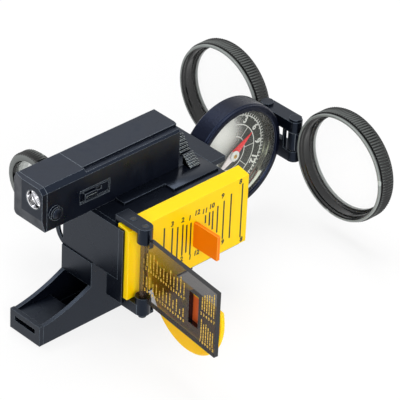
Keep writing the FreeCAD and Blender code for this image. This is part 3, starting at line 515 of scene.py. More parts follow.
@dataclass(frozen=True)
class MouldedPlastic(Surface):
    """Injection-moulded ABS or acetal: one colour through, a spark-eroded grain and a soft gloss.

    The grain breaks up reflections, slow changes in gloss come from the way the melt cooled, and every
    corner has the small radius of its mould. A pale painted highlight lies on the corners, or on a ribbed
    piece on the crests of its ribs.
    """

    colour: str
    deep: str
    painted_highlight: str
    roughness: float
    gloss_change: float = 0.06
    grain_mm: float = 0.35
    grain_height_mm: float = 0.004
    cloud_mm: float = 14.0
    corner_mm: float = 0.3
    ior: float = 1.5
    specular: float = 0.5
    specular_tint: str = "#ffffff"
    ribbed: bool = False
    scatter: float = 0.0

    def paint(self, tree: Tree, shader: Node, where: Socket) -> None:
        """Paint the plastic with its clouds, painted highlight on its edges, changes in gloss and grain.

        Args:
            tree: the material's node tree.
            shader: its surface shader.
            where: the object coordinates.
        """
        cloud = noise(tree, where, self.cloud_mm, 3.0, 0.55)
        tint = blend(tree, cloud, self.colour, self.deep)
        bevel = {"samples": 6, "Radius": self.corner_mm * MM}
        corner = add_node(tree, "ShaderNodeBevel", bevel).outputs["Normal"]
        surface = add_node(tree, "ShaderNodeNewGeometry")
        if self.ribbed:
            # painted highlight: the ribs' crests are painted pale and their roots keep the plain colour
            highlight_mask = ranged(tree, surface.outputs["Pointiness"], 0.545, 0.585)
        else:
            # painted highlight: a thin pale line follows each edge, where the rounded corner turns from the
            # flat face
            facing = measure(tree, "DOT_PRODUCT", corner, surface.outputs["Normal"])
            highlight_mask = ranged(tree, facing, 0.98, 0.84)
        gloss = ranged(tree, cloud, 0.3, 0.7, self.roughness - self.gloss_change,
                       self.roughness + self.gloss_change)
        grain = noise(tree, where, self.grain_mm, 2.0, 0.6)
        fill(shader, {"Base Color": blend(tree, highlight_mask, tint, self.painted_highlight), "Roughness": gloss, "IOR": self.ior,
                      "Normal": relief(tree, grain, 1.0, self.grain_height_mm, corner),
                      "Specular IOR Level": self.specular, "Specular Tint": linear(self.specular_tint)})
        if self.scatter:
            # pigmented plastic lets red light travel further than green, so its shaded sides turn orange
            fill(shader, {"Subsurface Weight": self.scatter, "Subsurface Radius": (1.0, 0.28, 0.02),
                          "Subsurface Scale": 1.6 * MM})


@dataclass(frozen=True)
class SmokedAcrylic(Surface):
    """Smoked acrylic sheet: light passes its faces, and its sawn edges gather the tint to near black.

    The sheet is made clearer towards the hinge.
    """

    tint: str
    edge: str
    thick: float
    thin: float
    roughness: float = 0.12
    fade_mm: Pair = (2.0, 18.0)
    moulded_mm: float = 3.0

    def paint(self, tree: Tree, shader: Node, where: Socket) -> None:
        """Paint the sheet, told apart from its edges by which way the surface faces.

        Args:
            tree: the material's node tree.
            shader: its surface shader.
            where: the object coordinates.
        """
        turn = math.radians(CARD_OPEN_DEG)
        square = (math.cos(turn), -math.sin(turn), 0.0)
        facing = measure(tree, "DOT_PRODUCT", where.node.outputs["Normal"], square)
        rim = sum_of(tree, "LESS_THAN", sum_of(tree, "ABSOLUTE", facing), 0.5)
        flattened = {"operation": "MULTIPLY", 0: where, 1: (1.0, 1.0, 0.0)}
        level = add_node(tree, "ShaderNodeVectorMath", flattened).outputs["Vector"]
        hinge = (CARD_HINGE[0] * MM, CARD_HINGE[1] * MM, 0.0)
        along = measure(tree, "DISTANCE", level, hinge)
        body = ranged(tree, along, self.fade_mm[0] * MM, self.fade_mm[1] * MM, self.thin, self.thick)
        # the edge beside the hinge is moulded with the sheet and stays as clear as its faces
        sawn = sum_of(tree, "GREATER_THAN", along, self.moulded_mm * MM)
        dark = sum_of(tree, "MULTIPLY", rim, sawn)
        ripple = noise(tree, where, 6.0, 1.0)
        fill(shader, {"Base Color": blend(tree, dark, self.tint, self.edge), "Roughness": self.roughness,
                      "IOR": CLEAR_IOR, "Alpha": sum_of(tree, "MAXIMUM", body, dark),
                      "Normal": relief(tree, ripple, 0.6, 0.01)})


@dataclass(frozen=True)
class ThinClear(Surface):
    """A clear pane, lens or bulb, seen at once through both faces: mostly open, with a glossy skin."""

    tint: str
    clearness: float
    roughness: float = 0.03
    painted_glare: float = 0.0
    painted_glare_at: Point = (0.0, 0.0, 0.0)
    painted_glare_mm: float = 10.0

    def paint(self, tree: Tree, shader: Node, where: Socket) -> None:
        """Paint the pane with the faint ripple that moulded clear plastic has.

        Args:
            tree: the material's node tree.
            shader: its surface shader.
            where: the object coordinates.
        """
        ripple = noise(tree, where, 5.0, 1.0)
        density = 1.0 - self.clearness
        if self.painted_glare:
            # painted glare: the pane turns white and dense round one place, standing in for a reflection
            spot = measure(tree, "DISTANCE", where, tuple(v * MM for v in self.painted_glare_at))
            density = ranged(tree, spot, self.painted_glare_mm * MM, 0.0, density, self.painted_glare, "SMOOTHSTEP")
        fill(shader, {"Base Color": linear(self.tint), "Roughness": self.roughness, "IOR": CLEAR_IOR,
                      "Alpha": density, "Normal": relief(tree, ripple, 0.5, 0.004)})


@dataclass(frozen=True)
class PlatedMetal(Surface):
    """Vacuum-plated or bare bright metal, faintly streaked by handling."""

    colour: str
    roughness: float
    shade: str = ""
    shade_z: Pair = (0.0, 1.0)

    def paint(self, tree: Tree, shader: Node, where: Socket) -> None:
        """Paint the metal with its roughness broken up by fine streaks.

        Args:
            tree: the material's node tree.
            shader: its surface shader.
            where: the object coordinates.
        """
        streak = noise(tree, where, 0.4, 2.0)
        colour = linear(self.colour)
        if self.shade:
            # painted shade: the bright wall turns dark brown towards the top of the ring
            height = add_node(tree, "ShaderNodeSeparateXYZ", {0: where}).outputs["Z"]
            run = ranged(tree, height, self.shade_z[0] * MM, self.shade_z[1] * MM)
            colour = blend(tree, run, self.colour, self.shade)
        rough = ranged(tree, streak, 0.0, 1.0, self.roughness * 0.7, self.roughness * 1.4)
        fill(shader, {"Base Color": colour, "Roughness": rough, "Metallic": 1.0})


@dataclass(frozen=True)
class PadInk(Surface):
    """Pad-printed ink: a thin, slightly uneven film with less gloss than the plastic under it."""

    colour: str
    thin: str
    roughness: float = 0.5

    def paint(self, tree: Tree, shader: Node, where: Socket) -> None:
        """Paint the ink with a fine change of density.

        Args:
            tree: the material's node tree.
            shader: its surface shader.
            where: the object coordinates.
        """
        film = noise(tree, where, 0.5, 2.0)
        fill(shader, {"Base Color": blend(tree, film, self.colour, self.thin), "Roughness": self.roughness})


@dataclass(frozen=True)
class NeedleEnamel(Surface):
    """Dipped enamel on a steel needle: red to the pivot on one half, white on the other."""

    north: str
    south: str

    def paint(self, tree: Tree, shader: Node, where: Socket) -> None:
        """Paint both colours by the distance along the needle, with the dip's soft edge.

        Args:
            tree: the material's node tree.
            shader: its surface shader.
            where: the object coordinates.
        """
        lean = math.radians(NEEDLE_LEAN_DEG)
        pivot = (-COMPASS_CENTRE[0] * MM, 0.0, -COMPASS_CENTRE[2] * MM)
        moved = {"vector_type": "POINT", "Vector": where, "Location": pivot}
        centred = add_node(tree, "ShaderNodeMapping", moved).outputs["Vector"]
        along = measure(tree, "DOT_PRODUCT", centred, (math.cos(lean), 0.0, math.sin(lean)))
        share = ranged(tree, along, 0.2 * MM, 0.8 * MM)
        fill(shader, {"Base Color": blend(tree, share, self.south, self.north), "Roughness": 0.3,
                      "Coat Weight": 0.3})


# the cold skin of the black mouldings, and the fine soft skin of the bright ones
COLD_SKIN = {"corner_mm": 0.2, "ior": 1.46, "specular_tint": "#aec4e6"}
SOFT_SKIN = {"gloss_change": 0.04, "grain_height_mm": 0.002, "ior": 1.45, "specular": 0.2}


class Finish(Enum):
    """The finishes that the tool is made in."""

    # in each moulding the third colour is its painted highlight along edges, or along the crests of ribs
    # ABS from a spark-eroded mould: blue-black with a cold gloss, its corners pale with painted highlight
    BLACK = MouldedPlastic("black_abs_moulded", "#080b13", "#04060c", "#67717a", 0.26, **COLD_SKIN)
    # the same ABS on the torch, which the hand rubs dull and cloudy
    TORCH_BLACK = MouldedPlastic("black_abs_handled", "#0a0e18", "#04050d", "#939da6", 0.38,
                                 gloss_change=0.12, cloud_mm=5.0, **COLD_SKIN)
    # the same ABS from a coarser mould on the compass, whose skin looks like fine leather
    CASE_BLACK = MouldedPlastic("black_abs_coarse_grain", "#040615", "#03040e", "#3a4358", 0.24, grain_mm=0.7,
                                grain_height_mm=0.15, ior=1.34, specular_tint="#9cb0e4")
    # the thumb grips, whose edges carry a painted highlight that is almost white
    GRIP_BLACK = MouldedPlastic("black_abs_grip", "#080b12", "#04060a", "#e2ebe8", 0.3, **COLD_SKIN)
    # the lens rings, a greyer and glossier moulding with a pale painted highlight on crests and lips
    RING_BLACK = MouldedPlastic("black_abs_ring", "#0a0d0d", "#060808", "#a9b0ad", 0.16, corner_mm=0.06,
                                ribbed=True)
    # ABS in a strong warm yellow, softly glossy, and acetal in a deeper one for the segment that turns
    YELLOW = MouldedPlastic("yellow_abs_moulded", "#fed100", "#f8c800", "#ffe24a", 0.4, scatter=0.35,
                            **SOFT_SKIN)
    SEGMENT_YELLOW = MouldedPlastic("yellow_acetal_segment", "#fdca00", "#f8c000", "#ffdc50", 0.42,
                                    scatter=0.6, **SOFT_SKIN)
    ORANGE = MouldedPlastic("orange_abs_moulded", "#f08200", "#e87800", "#ffb84e", 0.4, scatter=0.2,
                            **SOFT_SKIN)
    SMOKED = SmokedAcrylic("smoked_acrylic_card", "#22160f", "#0b0b10", 0.64, 0.3)
    # the same acrylic in the round hinge bar, where the tint is the same all round
    SMOKED_BAR = ThinClear("smoked_acrylic_bar", "#4a382a", 0.45, 0.12)
    LENS = ThinClear("clear_acrylic_lens", "#ffffff", 0.95, 0.02)
    EYE_LENS = ThinClear("clear_acrylic_eye_lens", "#f4f8f4", 0.5, 0.06)
    WINDOW = ThinClear("clear_styrene_window", "#f4f7ee", 0.97, 0.02)
    # a painted glare: the dial's clear film turns white on one side, standing in for a reflection
    BLOOM = ThinClear("painted_glare_dial_film", "#f6f8f2", 1.0, 0.3, painted_glare=0.85, painted_glare_at=(54.0, 4.6, 36.0),
                      painted_glare_mm=13.0)
    CHROME = PlatedMetal("vacuum_chrome_reflector", "#f0f0f2", 0.08)
    # bright metal wall with painted shade, dark brown towards its top
    CAPSULE = PlatedMetal("capsule_wall_painted_shade", "#d8dccc", 0.1, shade="#1c1006", shade_z=(22.0, 28.0))
    BULB = ThinClear("bulb_glass", "#fffdf2", 0.5, 0.02)
    CELL = MouldedPlastic("cell_jacket_enamel", "#50545c", "#44484f", "#8a8f98", 0.4)
    BRASS = PlatedMetal("brass_strip", "#c8a255", 0.25)
    DIAL = MouldedPlastic("printed_dial_card", "#1f241e", "#171b16", "#3c423a", 0.4, grain_height_mm=0.001)
    NEEDLE = NeedleEnamel("two_colour_needle_enamel", "#ea0c1c", "#f4ecea")
    # an orange film laid on the map segment as painted shade
    INK_ORANGE = PadInk("orange_painted_shade_film", "#dd5f1c", "#cc5212")
    INK_BLACK = PadInk("black_pad_ink", "#0d0a06", "#191408")
    INK_GOLD = PadInk("gold_pad_ink", "#f2c840", "#dcae34", 0.45)
    INK_WHITE = PadInk("white_pad_ink", "#f2f4ee", "#d2d6cf")

    def get(self) -> bpy.types.Material:
        """The finish's material, made once."""
        return bpy.data.materials.get(self.value.name) or self.value.material()


NODE_FINISH = {
    Finish.BLACK: (
        "whistle_body", "whistle_mouthpiece", "main_housing", "front_plate", "side_frame", "upper_knuckle",
        "lower_knuckle", "group_bracket", "group_pin", "bridge_block", "right_ring_pin", "left_ring_pin",
        "eyepiece_bracket", "eyepiece_pin", "compass_pivot"),
    Finish.TORCH_BLACK: ("torch_case", "battery_lid", "torch_bezel", "torch_switch"),
    Finish.GRIP_BLACK: ("top_deck", "rear_grip_pad"),
    Finish.CASE_BLACK: ("compass_case",),
    Finish.RING_BLACK: ("right_objective_ring", "left_objective_ring", "eyepiece_ring"),
    Finish.YELLOW: ("sundial_plate",),
    Finish.SEGMENT_YELLOW: ("map_wheel", "wheel_axle"),
    Finish.ORANGE: ("gnomon",),
    Finish.SMOKED: ("code_card",),
    Finish.SMOKED_BAR: ("card_hinge_bar",),
    Finish.LENS: ("right_objective_lens", "left_objective_lens"),
    Finish.EYE_LENS: ("eyepiece_lens",),
    Finish.WINDOW: ("compass_window",),
    Finish.CHROME: ("reflector",),
    Finish.BULB: ("bulb",),
    Finish.CELL: ("battery_cell",),
    Finish.BRASS: ("cell_contact",),
    Finish.DIAL: ("compass_dial",),
    Finish.NEEDLE: ("compass_needle",),
}


# ---------------------------------------------------------------- sundial
@dataclass
class SundialPrinting:
    """Hour lines (x, top, foot) and figures (text, x, z) on the yellow plate, printed in black."""

    line_width: float = 0.58
    figure_height: float = 1.75
    figure_weight: float = 0.09
    slant: float = 0.12
    lines: tuple[Point, ...] = (
        (4.6, 36.8, 29.1), (8.1, 35.3, 24.4), (10.4, 34.7, 22.6), (12.6, 34.6, 22.8), (14.3, 33.8, 23.2),
        (16.1, 33.8, 21.6), (22.4, 34.0, 30.9), (24.15, 34.4, 29.3), (25.6, 34.2, 27.1), (27.7, 35.2, 25.0),
        (30.4, 36.0, 21.4), (33.5, 37.4, 20.3), (38.4, 39.2, 18.5))
    hours: tuple[tuple[str, float, float], ...] = (
        ("3", 7.9, 36.8), ("2", 12.4, 36.4), ("1", 15.4, 35.8), ("12", 18.6, 36.5), ("11", 21.9, 35.7),
        ("10", 24.9, 36.3), ("9", 29.6, 38.1), ("8", 37.3, 40.3), ("2", 12.5, 21.4), ("1", 16.2, 20.5),
        ("12", 19.0, 21.0), ("9", 30.5, 20.0), ("8", 38.9, 17.4))

    def build(self) -> None:
        """Print the scale on the plate's face."""
        low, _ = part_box("sundial_plate")
        face_y = low[1] / MM
        half = self.line_width / 2.0
        marks = [block((x - half, face_y - INK_FILM, foot), (x + half, face_y, top))
                 for x, top, foot in self.lines]
        for text, x, z in self.hours:
            place = placed((x, face_y, z)) @ rotated(90.0, "X")
            marks.append(figures(text, self.figure_height, place, self.figure_weight, self.slant))
        new_piece("sundial_scale", marks, Finish.INK_BLACK, "body")


# ---------------------------------------------------------------- code card and map segment
@dataclass(frozen=True)
class CodeTable:
    """Upright codes side by side: the first one's distance from the hinge, their pitch, foot and tops.

    Each code starts a few marks further along the run of dots and dashes than the one before.
    """

    first: float
    pitch: float
    foot: float
    tops: tuple[float, ...]
    start: int
    stride: int


@dataclass(frozen=True)
class FigureRow:
    """A level row of figures: the first and last one's distance from the hinge, their count and height."""

    first: float
    last: float
    count: int
    height: float
    start: int


@dataclass
class CardPrinting:
    """Dots, dashes and figures in gold on the front of the smoked card."""

    face_offset: float = -0.8
    stroke: float = 0.4
    dash: float = 1.05
    dot: float = 0.42
    gap: float = 0.3
    figure_height: float = 1.0
    figure_weight: float = 0.03
    code: str = "-.--..-.-.--.-..--.-...-.--.-.-"
    tables: tuple[CodeTable, ...] = (
        CodeTable(0.9, 1.72, 31.6,
                  (34.0, 36.3, 37.0, 37.8, 36.6, 35.2, 35.9, 36.0, 36.9, 36.4, 37.3, 38.4, 37.0), 0, 3),
        CodeTable(0.9, 1.72, 23.6,
                  (28.9, 28.2, 29.0, 27.4, 28.6, 26.9, 28.8, 27.9, 28.9, 27.2, 28.5, 26.6, 28.0), 2, 5),
        CodeTable(30.7, 1.14, 31.8, tuple(37.2 + 0.68 * i for i in range(6)), 1, 4),
        CodeTable(30.7, 1.14, 20.9, tuple(28.4 - 0.42 * i for i in range(6)), 0, 7))
    rows: tuple[FigureRow, ...] = (
        FigureRow(0.9, 21.6, 17, 30.4, 1), FigureRow(0.6, 21.8, 17, 22.2, 4),
        FigureRow(30.4, 36.7, 6, 30.2, 2), FigureRow(30.4, 36.7, 6, 19.9, 7))

    def code_marks(self, along: float, foot: float, top: float, index: int) -> list[Shape]:
        """Print one upright code.

        Args:
            along: its distance from the hinge, in mm.
            foot: the height of its foot, in mm.
            top: the height that it may reach, in mm.
            index: where in the run of dots and dashes it starts.

        Returns:
            Its marks.
        """
        marks = []
        half = self.stroke / 2.0
        while True:
            length = self.dash if self.code[index % len(self.code)] == "-" else self.dot
            if foot + length > top:
                return marks
            marks.append(block((-INK_FILM, -half, foot), (0.0, half, foot + length),
                               on_card(self.face_offset, along, 0.0)))
            foot += length + self.gap
            index += 1

    def row_figures(self, row: FigureRow) -> list[Shape]:
        """Print one level row of figures.

        Args:
            row: the row.

        Returns:
            Its figures.
        """
        facing = rotated(-90.0, "Z") @ rotated(90.0, "X")
        pitch = (row.last - row.first) / (row.count - 1)
        marks = []
        for i in range(row.count):
            place = on_card(self.face_offset, row.first + pitch * i, row.height) @ facing
            marks.append(figures(str((row.start + i) % 10), self.figure_height, place, self.figure_weight))
        return marks

    def build(self) -> None:
        """Print the four tables of codes and their rows of figures."""
        marks = []
        for table in self.tables:
            for i, top in enumerate(table.tops):
                along = table.first + table.pitch * i
                marks += self.code_marks(along, table.foot, top, table.start + table.stride * i)
        for row in self.rows:
            marks += self.row_figures(row)
        new_piece("card_code_table", marks, Finish.INK_GOLD, "card_leaf")


@dataclass
class MapSegment:
    """The D-shaped segment whose milled rim is rolled along a map, and an orange patch of painted shade on
    it.

    The patch shows in the card's slot, where it stands in for the segment's shaded face.
    """

    radius: float = 18.0
    thick: float = 1.6
    chamfer: Pair = (0.5, 0.35)
    bore: float = 1.66
    back_offset: float = 1.2
    along: float = 20.0
    height: float = 27.8
    flat: float = 4.9
    teeth: int = 140
    tooth_depth: float = 0.22
    shade_patch_along: Pair = (23.4, 29.4)
    shade_patch_height: Pair = (22.9, 32.4)

    def build(self) -> None:
        """Turn the disc, mill its rim, cut its flat, and lay the orange patch of painted shade on its front.
        """
        r, t = self.radius, self.thick
        inset, slope = self.chamfer
        profile = [(self.bore, 0.0), (r - inset, 0.0), (r, slope), (r, t - slope), (r - inset, t),
                   (self.bore, t)]
        disc = turned(profile, HERE, 2 * self.teeth, (Ribs(r, -self.tooth_depth, 0.0, t),))
        place = on_card(self.back_offset, self.along, self.height) @ placed((0.0, 0.0, 0.0), AXIS_X)
        # the disc's own X axis points up once it is placed, so its flat is cut square to that axis
        up = place.inverted().to_3x3() @ AXIS_Z
        cut = bmesh.ops.bisect_plane(disc, geom=disc.verts[:] + disc.edges[:] + disc.faces[:], dist=1e-7,
                                     plane_co=up * self.flat * MM, plane_no=up, clear_outer=True)
        rim = [e for e in cut["geom_cut"] if isinstance(e, bmesh.types.BMEdge)]
        bmesh.ops.holes_fill(disc, edges=rim, sides=0)
        new_piece("map_segment", [finished(disc, place)], Finish.SEGMENT_YELLOW, "wheel",
                  "map_wheel")
        # painted shade: an orange patch where the card's slot shows the segment's shaded face
        near, far = self.shade_patch_along
        foot, top = self.shade_patch_height
        field = block((-INK_FILM, -far, foot), (0.0, -near, top), on_card(self.back_offset, 0.0, 0.0))
        new_piece("segment_painted_shade_field", [field], Finish.INK_ORANGE, "wheel")


# ---------------------------------------------------------------- compass
@dataclass
class Compass:
    """The compass case with its hinge, the bright capsule wall, the dial's printing and the capped needle.

    Depths are measured back from the front face.
    """

    radius: float = 19.4
    depth: float = 8.2
    bore: float = 16.8
    dial_depth: float = 4.0
    floor_depth: float = 4.8
    window_back: float = 1.3
    pin: Pair = (38.9, 13.25)
    pin_bore: float = 1.15
    barrel: float = 2.1
    barrel_low: float = 24.75
    barrel_high: float = 39.15
    stem_end: float = 80.6
    stem_y: Pair = (5.75, 7.95)
    stem_z: Pair = (21.9, 33.1)
    ticks: int = 72
    tick_lengths: Pair = (1.5, 1.0)
    tick_half: float = 0.15
    scale_r: float = 15.0
    figure_count: int = 12
    figure_r: float = 12.4
    figure_height: float = 2.5
    figure_weight: float = 0.12
    rings: Point = (14.0, 10.6, 6.2)
    ring_half: float = 0.16
    spokes: int = 8
    spoke_half: float = 0.1
    film_r: Pair = (0.7, 15.4)
    blade_length: float = 20.0
    blade_half_width: float = 1.6
    blade_depth: float = 2.5
    cap_depth: float = 1.99
    jewel_depth: float = 1.65

    def behind_face(self, depth: float, axis: Vector = AXIS_Z) -> Matrix:
        """A place on the compass's axis, so many mm behind its front face."""
        x, y, z = COMPASS_CENTRE
        return placed((x, y + depth, z), axis)

    def case(self) -> None:
        """Turn the case with its stepped rim, and add its hinge arm, barrel and stem."""
        r, d = self.radius, self.depth
        profile = [(0.0, self.floor_depth), (self.bore, self.floor_depth), (self.bore, 0.5), (17.3, 0.0),
                   (18.7, 0.0), (19.1, 0.25), (19.15, 0.9), (r, 1.1), (r, d - 0.5), (r - 0.5, d), (0.0, d)]
        barrel = tube(self.pin_bore, self.barrel, 0.0, self.barrel_high - self.barrel_low)
        x, y = self.pin
        near = COMPASS_CENTRE[1] + 1.5
        far = COMPASS_CENTRE[1] + d
        outline = [(x + 1.3, y - 0.6), (x + self.barrel - 0.2, y - 0.2), (x + self.barrel, far),
                   (x + 7.0, far), (x + 7.0, near), (x + 1.4, near)]
        arm = slab(outline, self.barrel_low, self.barrel_high, round_mm=0.2)
        self.keep_outside(arm)
        stem = block((COMPASS_CENTRE[0] + r - 1.2, self.stem_y[0], self.stem_z[0]),
                     (self.stem_end, self.stem_y[1], self.stem_z[1]), round_mm=0.2)
        parts = [turned(profile, self.behind_face(0.0, AXIS_Y), 160),
                 turned(barrel, placed((x, y, self.barrel_low)), 40), arm, stem]
        new_piece("compass_body", parts, Finish.CASE_BLACK, "lens_group", "compass_case")

    def keep_outside(self, arm: Shape) -> None:
        """Draw the arm's inner corners back to the case's side, so that none shows in the bore.

        Args:
            arm: the arm, in place.
        """
        inside = self.radius - 1.0
        for v in arm.verts:
            x = v.co.x / MM - COMPASS_CENTRE[0]
            z = v.co.z / MM - COMPASS_CENTRE[2]
            if math.hypot(x, z) < inside:
                v.co.x = (COMPASS_CENTRE[0] - math.sqrt(inside ** 2 - z ** 2)) * MM

    def capsule(self) -> None:
        """Turn the bright sloping wall between the window and the dial."""
        wall = self.bore - 0.04
        front = self.window_back + 0.05
        back = self.dial_depth - 0.05
        profile = [(wall, front), (wall, back), (wall - 1.2, back), (wall - 0.9, 3.2), (wall - 0.75, 2.4),
                   (wall - 0.25, front)]
        ring = turned(profile, self.behind_face(0.0, AXIS_Y), 160)
        new_piece("compass_capsule_wall", [ring], Finish.CAPSULE, "lens_group")

    def scale(self) -> None:
        """Print ticks, figures, rings and spokes on the dial, facing the window."""
        face = self.behind_face(self.dial_depth) @ rotated(90.0, "X")
        marks = []
        for i in range(self.ticks):
            foot = self.scale_r - self.tick_lengths[i % 2]
            marks.append(block((-self.tick_half, foot, 0.0), (self.tick_half, self.scale_r, INK_FILM),
                               face @ rotated(360.0 / self.ticks * i, "Z")))
        for i in range(self.figure_count):
            place = face @ rotated(-360.0 / self.figure_count * i, "Z") @ placed((0.0, self.figure_r, 0.0))
            marks.append(figures(str(3 * i), self.figure_height, place, self.figure_weight))
        for radius in self.rings:
            ring = tube(radius - self.ring_half, radius + self.ring_half, 0.0, INK_FILM)
            marks.append(turned(ring, face, 96))
        for i in range(self.spokes):
            place = face @ rotated(360.0 / self.spokes * i, "Z")
            marks.append(block((-self.spoke_half, self.rings[2], 0.0),
                               (self.spoke_half, self.rings[1], INK_FILM), place))
        new_piece("compass_scale", marks, Finish.INK_WHITE, "lens_group")

    def film(self) -> None:
        """Turn the clear film over the dial, which carries a painted glare."""
        back = self.dial_depth - 0.1
        disc = turned(tube(*self.film_r, back - 0.05, back), self.behind_face(0.0, AXIS_Y), 96)
        new_piece("dial_film", [disc], Finish.BLOOM, "lens_group")

    def needle(self) -> None:
        """Cut the needle's lozenge blade, and turn its pale cap and the brass jewel cup in the cap."""
        half = self.blade_length / 2.0
        wide = self.blade_half_width
        outline = [(half, 0.0), (1.2, wide), (-1.2, wide), (-half, 0.0), (-1.2, -wide), (1.2, -wide)]
        place = self.behind_face(self.blade_depth) @ rotated(90.0, "X") @ rotated(NEEDLE_LEAN_DEG, "Z")
        blade = slab(outline, -0.35, 0.0, place, round_mm=0.05)
        new_piece("needle_blade", [blade], Finish.NEEDLE, "needle", "compass_needle")
        cup = [(0.0, 0.0), (0.75, 0.0), (0.7, 0.12), (0.4, 0.22), (0.0, 0.25)]
        jewel = turned(cup, self.behind_face(self.jewel_depth, -AXIS_Y), 32)
        new_piece("needle_jewel", [jewel], Finish.BRASS, "needle")
        domed = [(0.0, 0.0), (1.95, 0.0), (1.95, 0.15), (1.7, 0.3), (1.2, 0.3), (1.0, 0.15), (0.6, 0.38),
                 (0.0, 0.4)]
        cap = turned(domed, self.behind_face(self.cap_depth, -AXIS_Y), 40)
        new_piece("needle_cap", [cap], Finish.INK_WHITE, "needle")

    def build(self) -> None:
        """Build every piece of the compass."""
        self.case()
        self.capsule()
        self.scale()
        self.film()
        self.needle()


# ---------------------------------------------------------------- lenses
@dataclass
class Lens:
    """A plano-convex moulded lens, its flat face away from the domed one."""

    name: str
    body: str
    node: str
    radius: float
    flat_x: float
    y: float
    finish: Finish = Finish.LENS
    edge: float = 0.7
    bulge: float = 1.3
    dome_steps: int = 12

    def build(self) -> None:
        """Turn the lens on its own sphere."""
        curve = (self.radius ** 2 + self.bulge ** 2) / (2.0 * self.bulge)
        profile = [(0.0, 0.0), (self.radius, 0.0)]
        for i in range(self.dome_steps + 1):
            r = self.radius * (1.0 - i / self.dome_steps)
            profile.append((r, self.edge + self.bulge - curve + math.sqrt(curve ** 2 - r ** 2)))
        lens = turned(profile, placed((self.flat_x, self.y, LENS_Z), -AXIS_X), 128)
        new_piece(self.name, [lens], self.finish, self.body, self.node)


@dataclass
class LensRing:
    """One folding lens ring: a stepped front, a band of fine ribs, a ribbed inner wall and its hinge.

    It is on the bridge's right side (side -1) or left side (side 1).
    """

    word: str
    side: int
    front_x: float = 81.3
    radius: float = 19.5
    depth: float = 6.6
    bore: float = 17.4
    sight: float = 16.5
    seat: float = 5.2
    teeth: int = 120
    pin_x: float = 83.0
    pin_bore: float = 1.25
    barrel: float = 2.2
    half_height: float = 3.35

    def hinge_y(self) -> float:
        """Where its pin stands."""
        return BRIDGE_Y + self.side * PIN_SPREAD

    def centre_y(self) -> float:
        """Where its axis is."""
        return self.hinge_y() + self.side * RING_REACH

    def lens(self) -> Lens:
        """The lens on its seat."""
        return Lens(f"{self.word}_lens_glass", f"{self.word}_ring", f"{self.word}_objective_lens",
                    self.bore - LENS_SLACK, self.front_x + self.seat, self.centre_y())

    def build(self) -> None:
        """Turn the ring, and make its hinge barrel with the block that carries it."""
        pin_y = self.hinge_y()
        centre_y = self.centre_y()
        r, b, d = self.radius, self.bore, self.depth
        # front lip and its groove, ribbed band, back lip, sight hole, lens seat and ribbed inner wall
        profile = [(18.15, 0.0), (18.75, 0.0), (19.0, 0.2), (19.0, 0.75), (18.8, 0.85), (18.8, 1.15),
                   (r, 1.3), (r, 5.9), (19.1, 6.1), (19.1, 6.4), (18.8, d), (16.8, d),
                   (self.sight, d - 0.3), (self.sight, self.seat), (b, self.seat), (b, 4.4), (b, 2.0),
                   (b + 0.05, 1.7), (17.85, 1.4), (17.85, 0.6), (18.15, 0.4)]
        bands = (Ribs(r, -0.4, 1.2, 6.0), Ribs(b, 0.2, 1.9, 4.5))
        ring = turned(profile, placed((self.front_x, centre_y, LENS_Z), AXIS_X), 2 * self.teeth, bands)
        barrel = turned(tube(self.pin_bore, self.barrel, -self.half_height, self.half_height),
                        placed((self.pin_x, pin_y, LENS_Z)), 40)
        near, far = sorted((pin_y + self.side * (self.pin_bore + 0.1), centre_y - self.side * (r - 1.2)))
        root = block((self.pin_x - 1.4, near, LENS_Z - self.half_height),
                     (self.pin_x + 2.6, far, LENS_Z + self.half_height), round_mm=0.2)
        body = f"{self.word}_ring"
        new_piece(f"{body}_body_hinge", [barrel, root], Finish.TORCH_BLACK, body)
        new_piece(f"{body}_body", [ring], Finish.RING_BLACK, body,
                  f"{self.word}_objective_ring", crease_deg=28.0)


@dataclass
class Eyepiece:
    """The folding eyepiece ring with its ribbed band, collar, arm and hinge barrel."""

    radius: float = 10.7
    lip: float = 10.3
    band: float = 4.6
    collar_r: float = 9.2
    collar: float = 1.6
    bore: float = 7.8
    teeth: int = 64
    pin: Pair = (7.0, 20.0)
    pin_bore: float = 1.15
    barrel: float = 2.2
    half_height: float = 4.15
    lens_x: float = 0.1

    def lens(self) -> Lens:
        """The lens in its bore."""
        return Lens("eyepiece_lens_glass", "eyepiece", "eyepiece_lens", self.bore - LENS_SLACK, self.lens_x,
                    EYEPIECE_Y, Finish.EYE_LENS)

    def build(self) -> None:
        """Turn the ring and join its arm and barrel to it."""
        r, b, d = self.radius, self.bore, self.band + self.collar
        profile = [(b + 0.5, 0.0), (10.0, 0.0), (self.lip, 0.2), (self.lip, 0.6), (r, 0.8), (r, 4.3),
                   (self.lip, self.band), (self.collar_r, self.band), (self.collar_r, d - 0.2),
                   (self.collar_r - 0.2, d), (b, d), (b, 0.9), (b + 0.3, 0.6)]
        ring = turned(profile, placed((EYEPIECE_X, EYEPIECE_Y, LENS_Z), AXIS_X), 2 * self.teeth,
                      (Ribs(r, -0.35, 0.7, 4.4),))
        px, py = self.pin
        barrel = turned(tube(self.pin_bore, self.barrel, -self.half_height, self.half_height),
                        placed((px, py, LENS_Z)), 40)
        root = EYEPIECE_Y - r + 1.4
        outline = [(px - self.barrel + 0.1, py + 0.4), (px - 0.9, py + 1.3), (px + 0.8, py + 2.0),
                   (EYEPIECE_X + self.band - 0.8, root), (EYEPIECE_X + 1.0, root)]
        arm = slab(outline, LENS_Z - self.half_height, LENS_Z + self.half_height, round_mm=0.2)
        new_piece("eyepiece_body", [ring, barrel, arm], Finish.RING_BLACK, "eyepiece",
                  "eyepiece_ring", crease_deg=28.0)


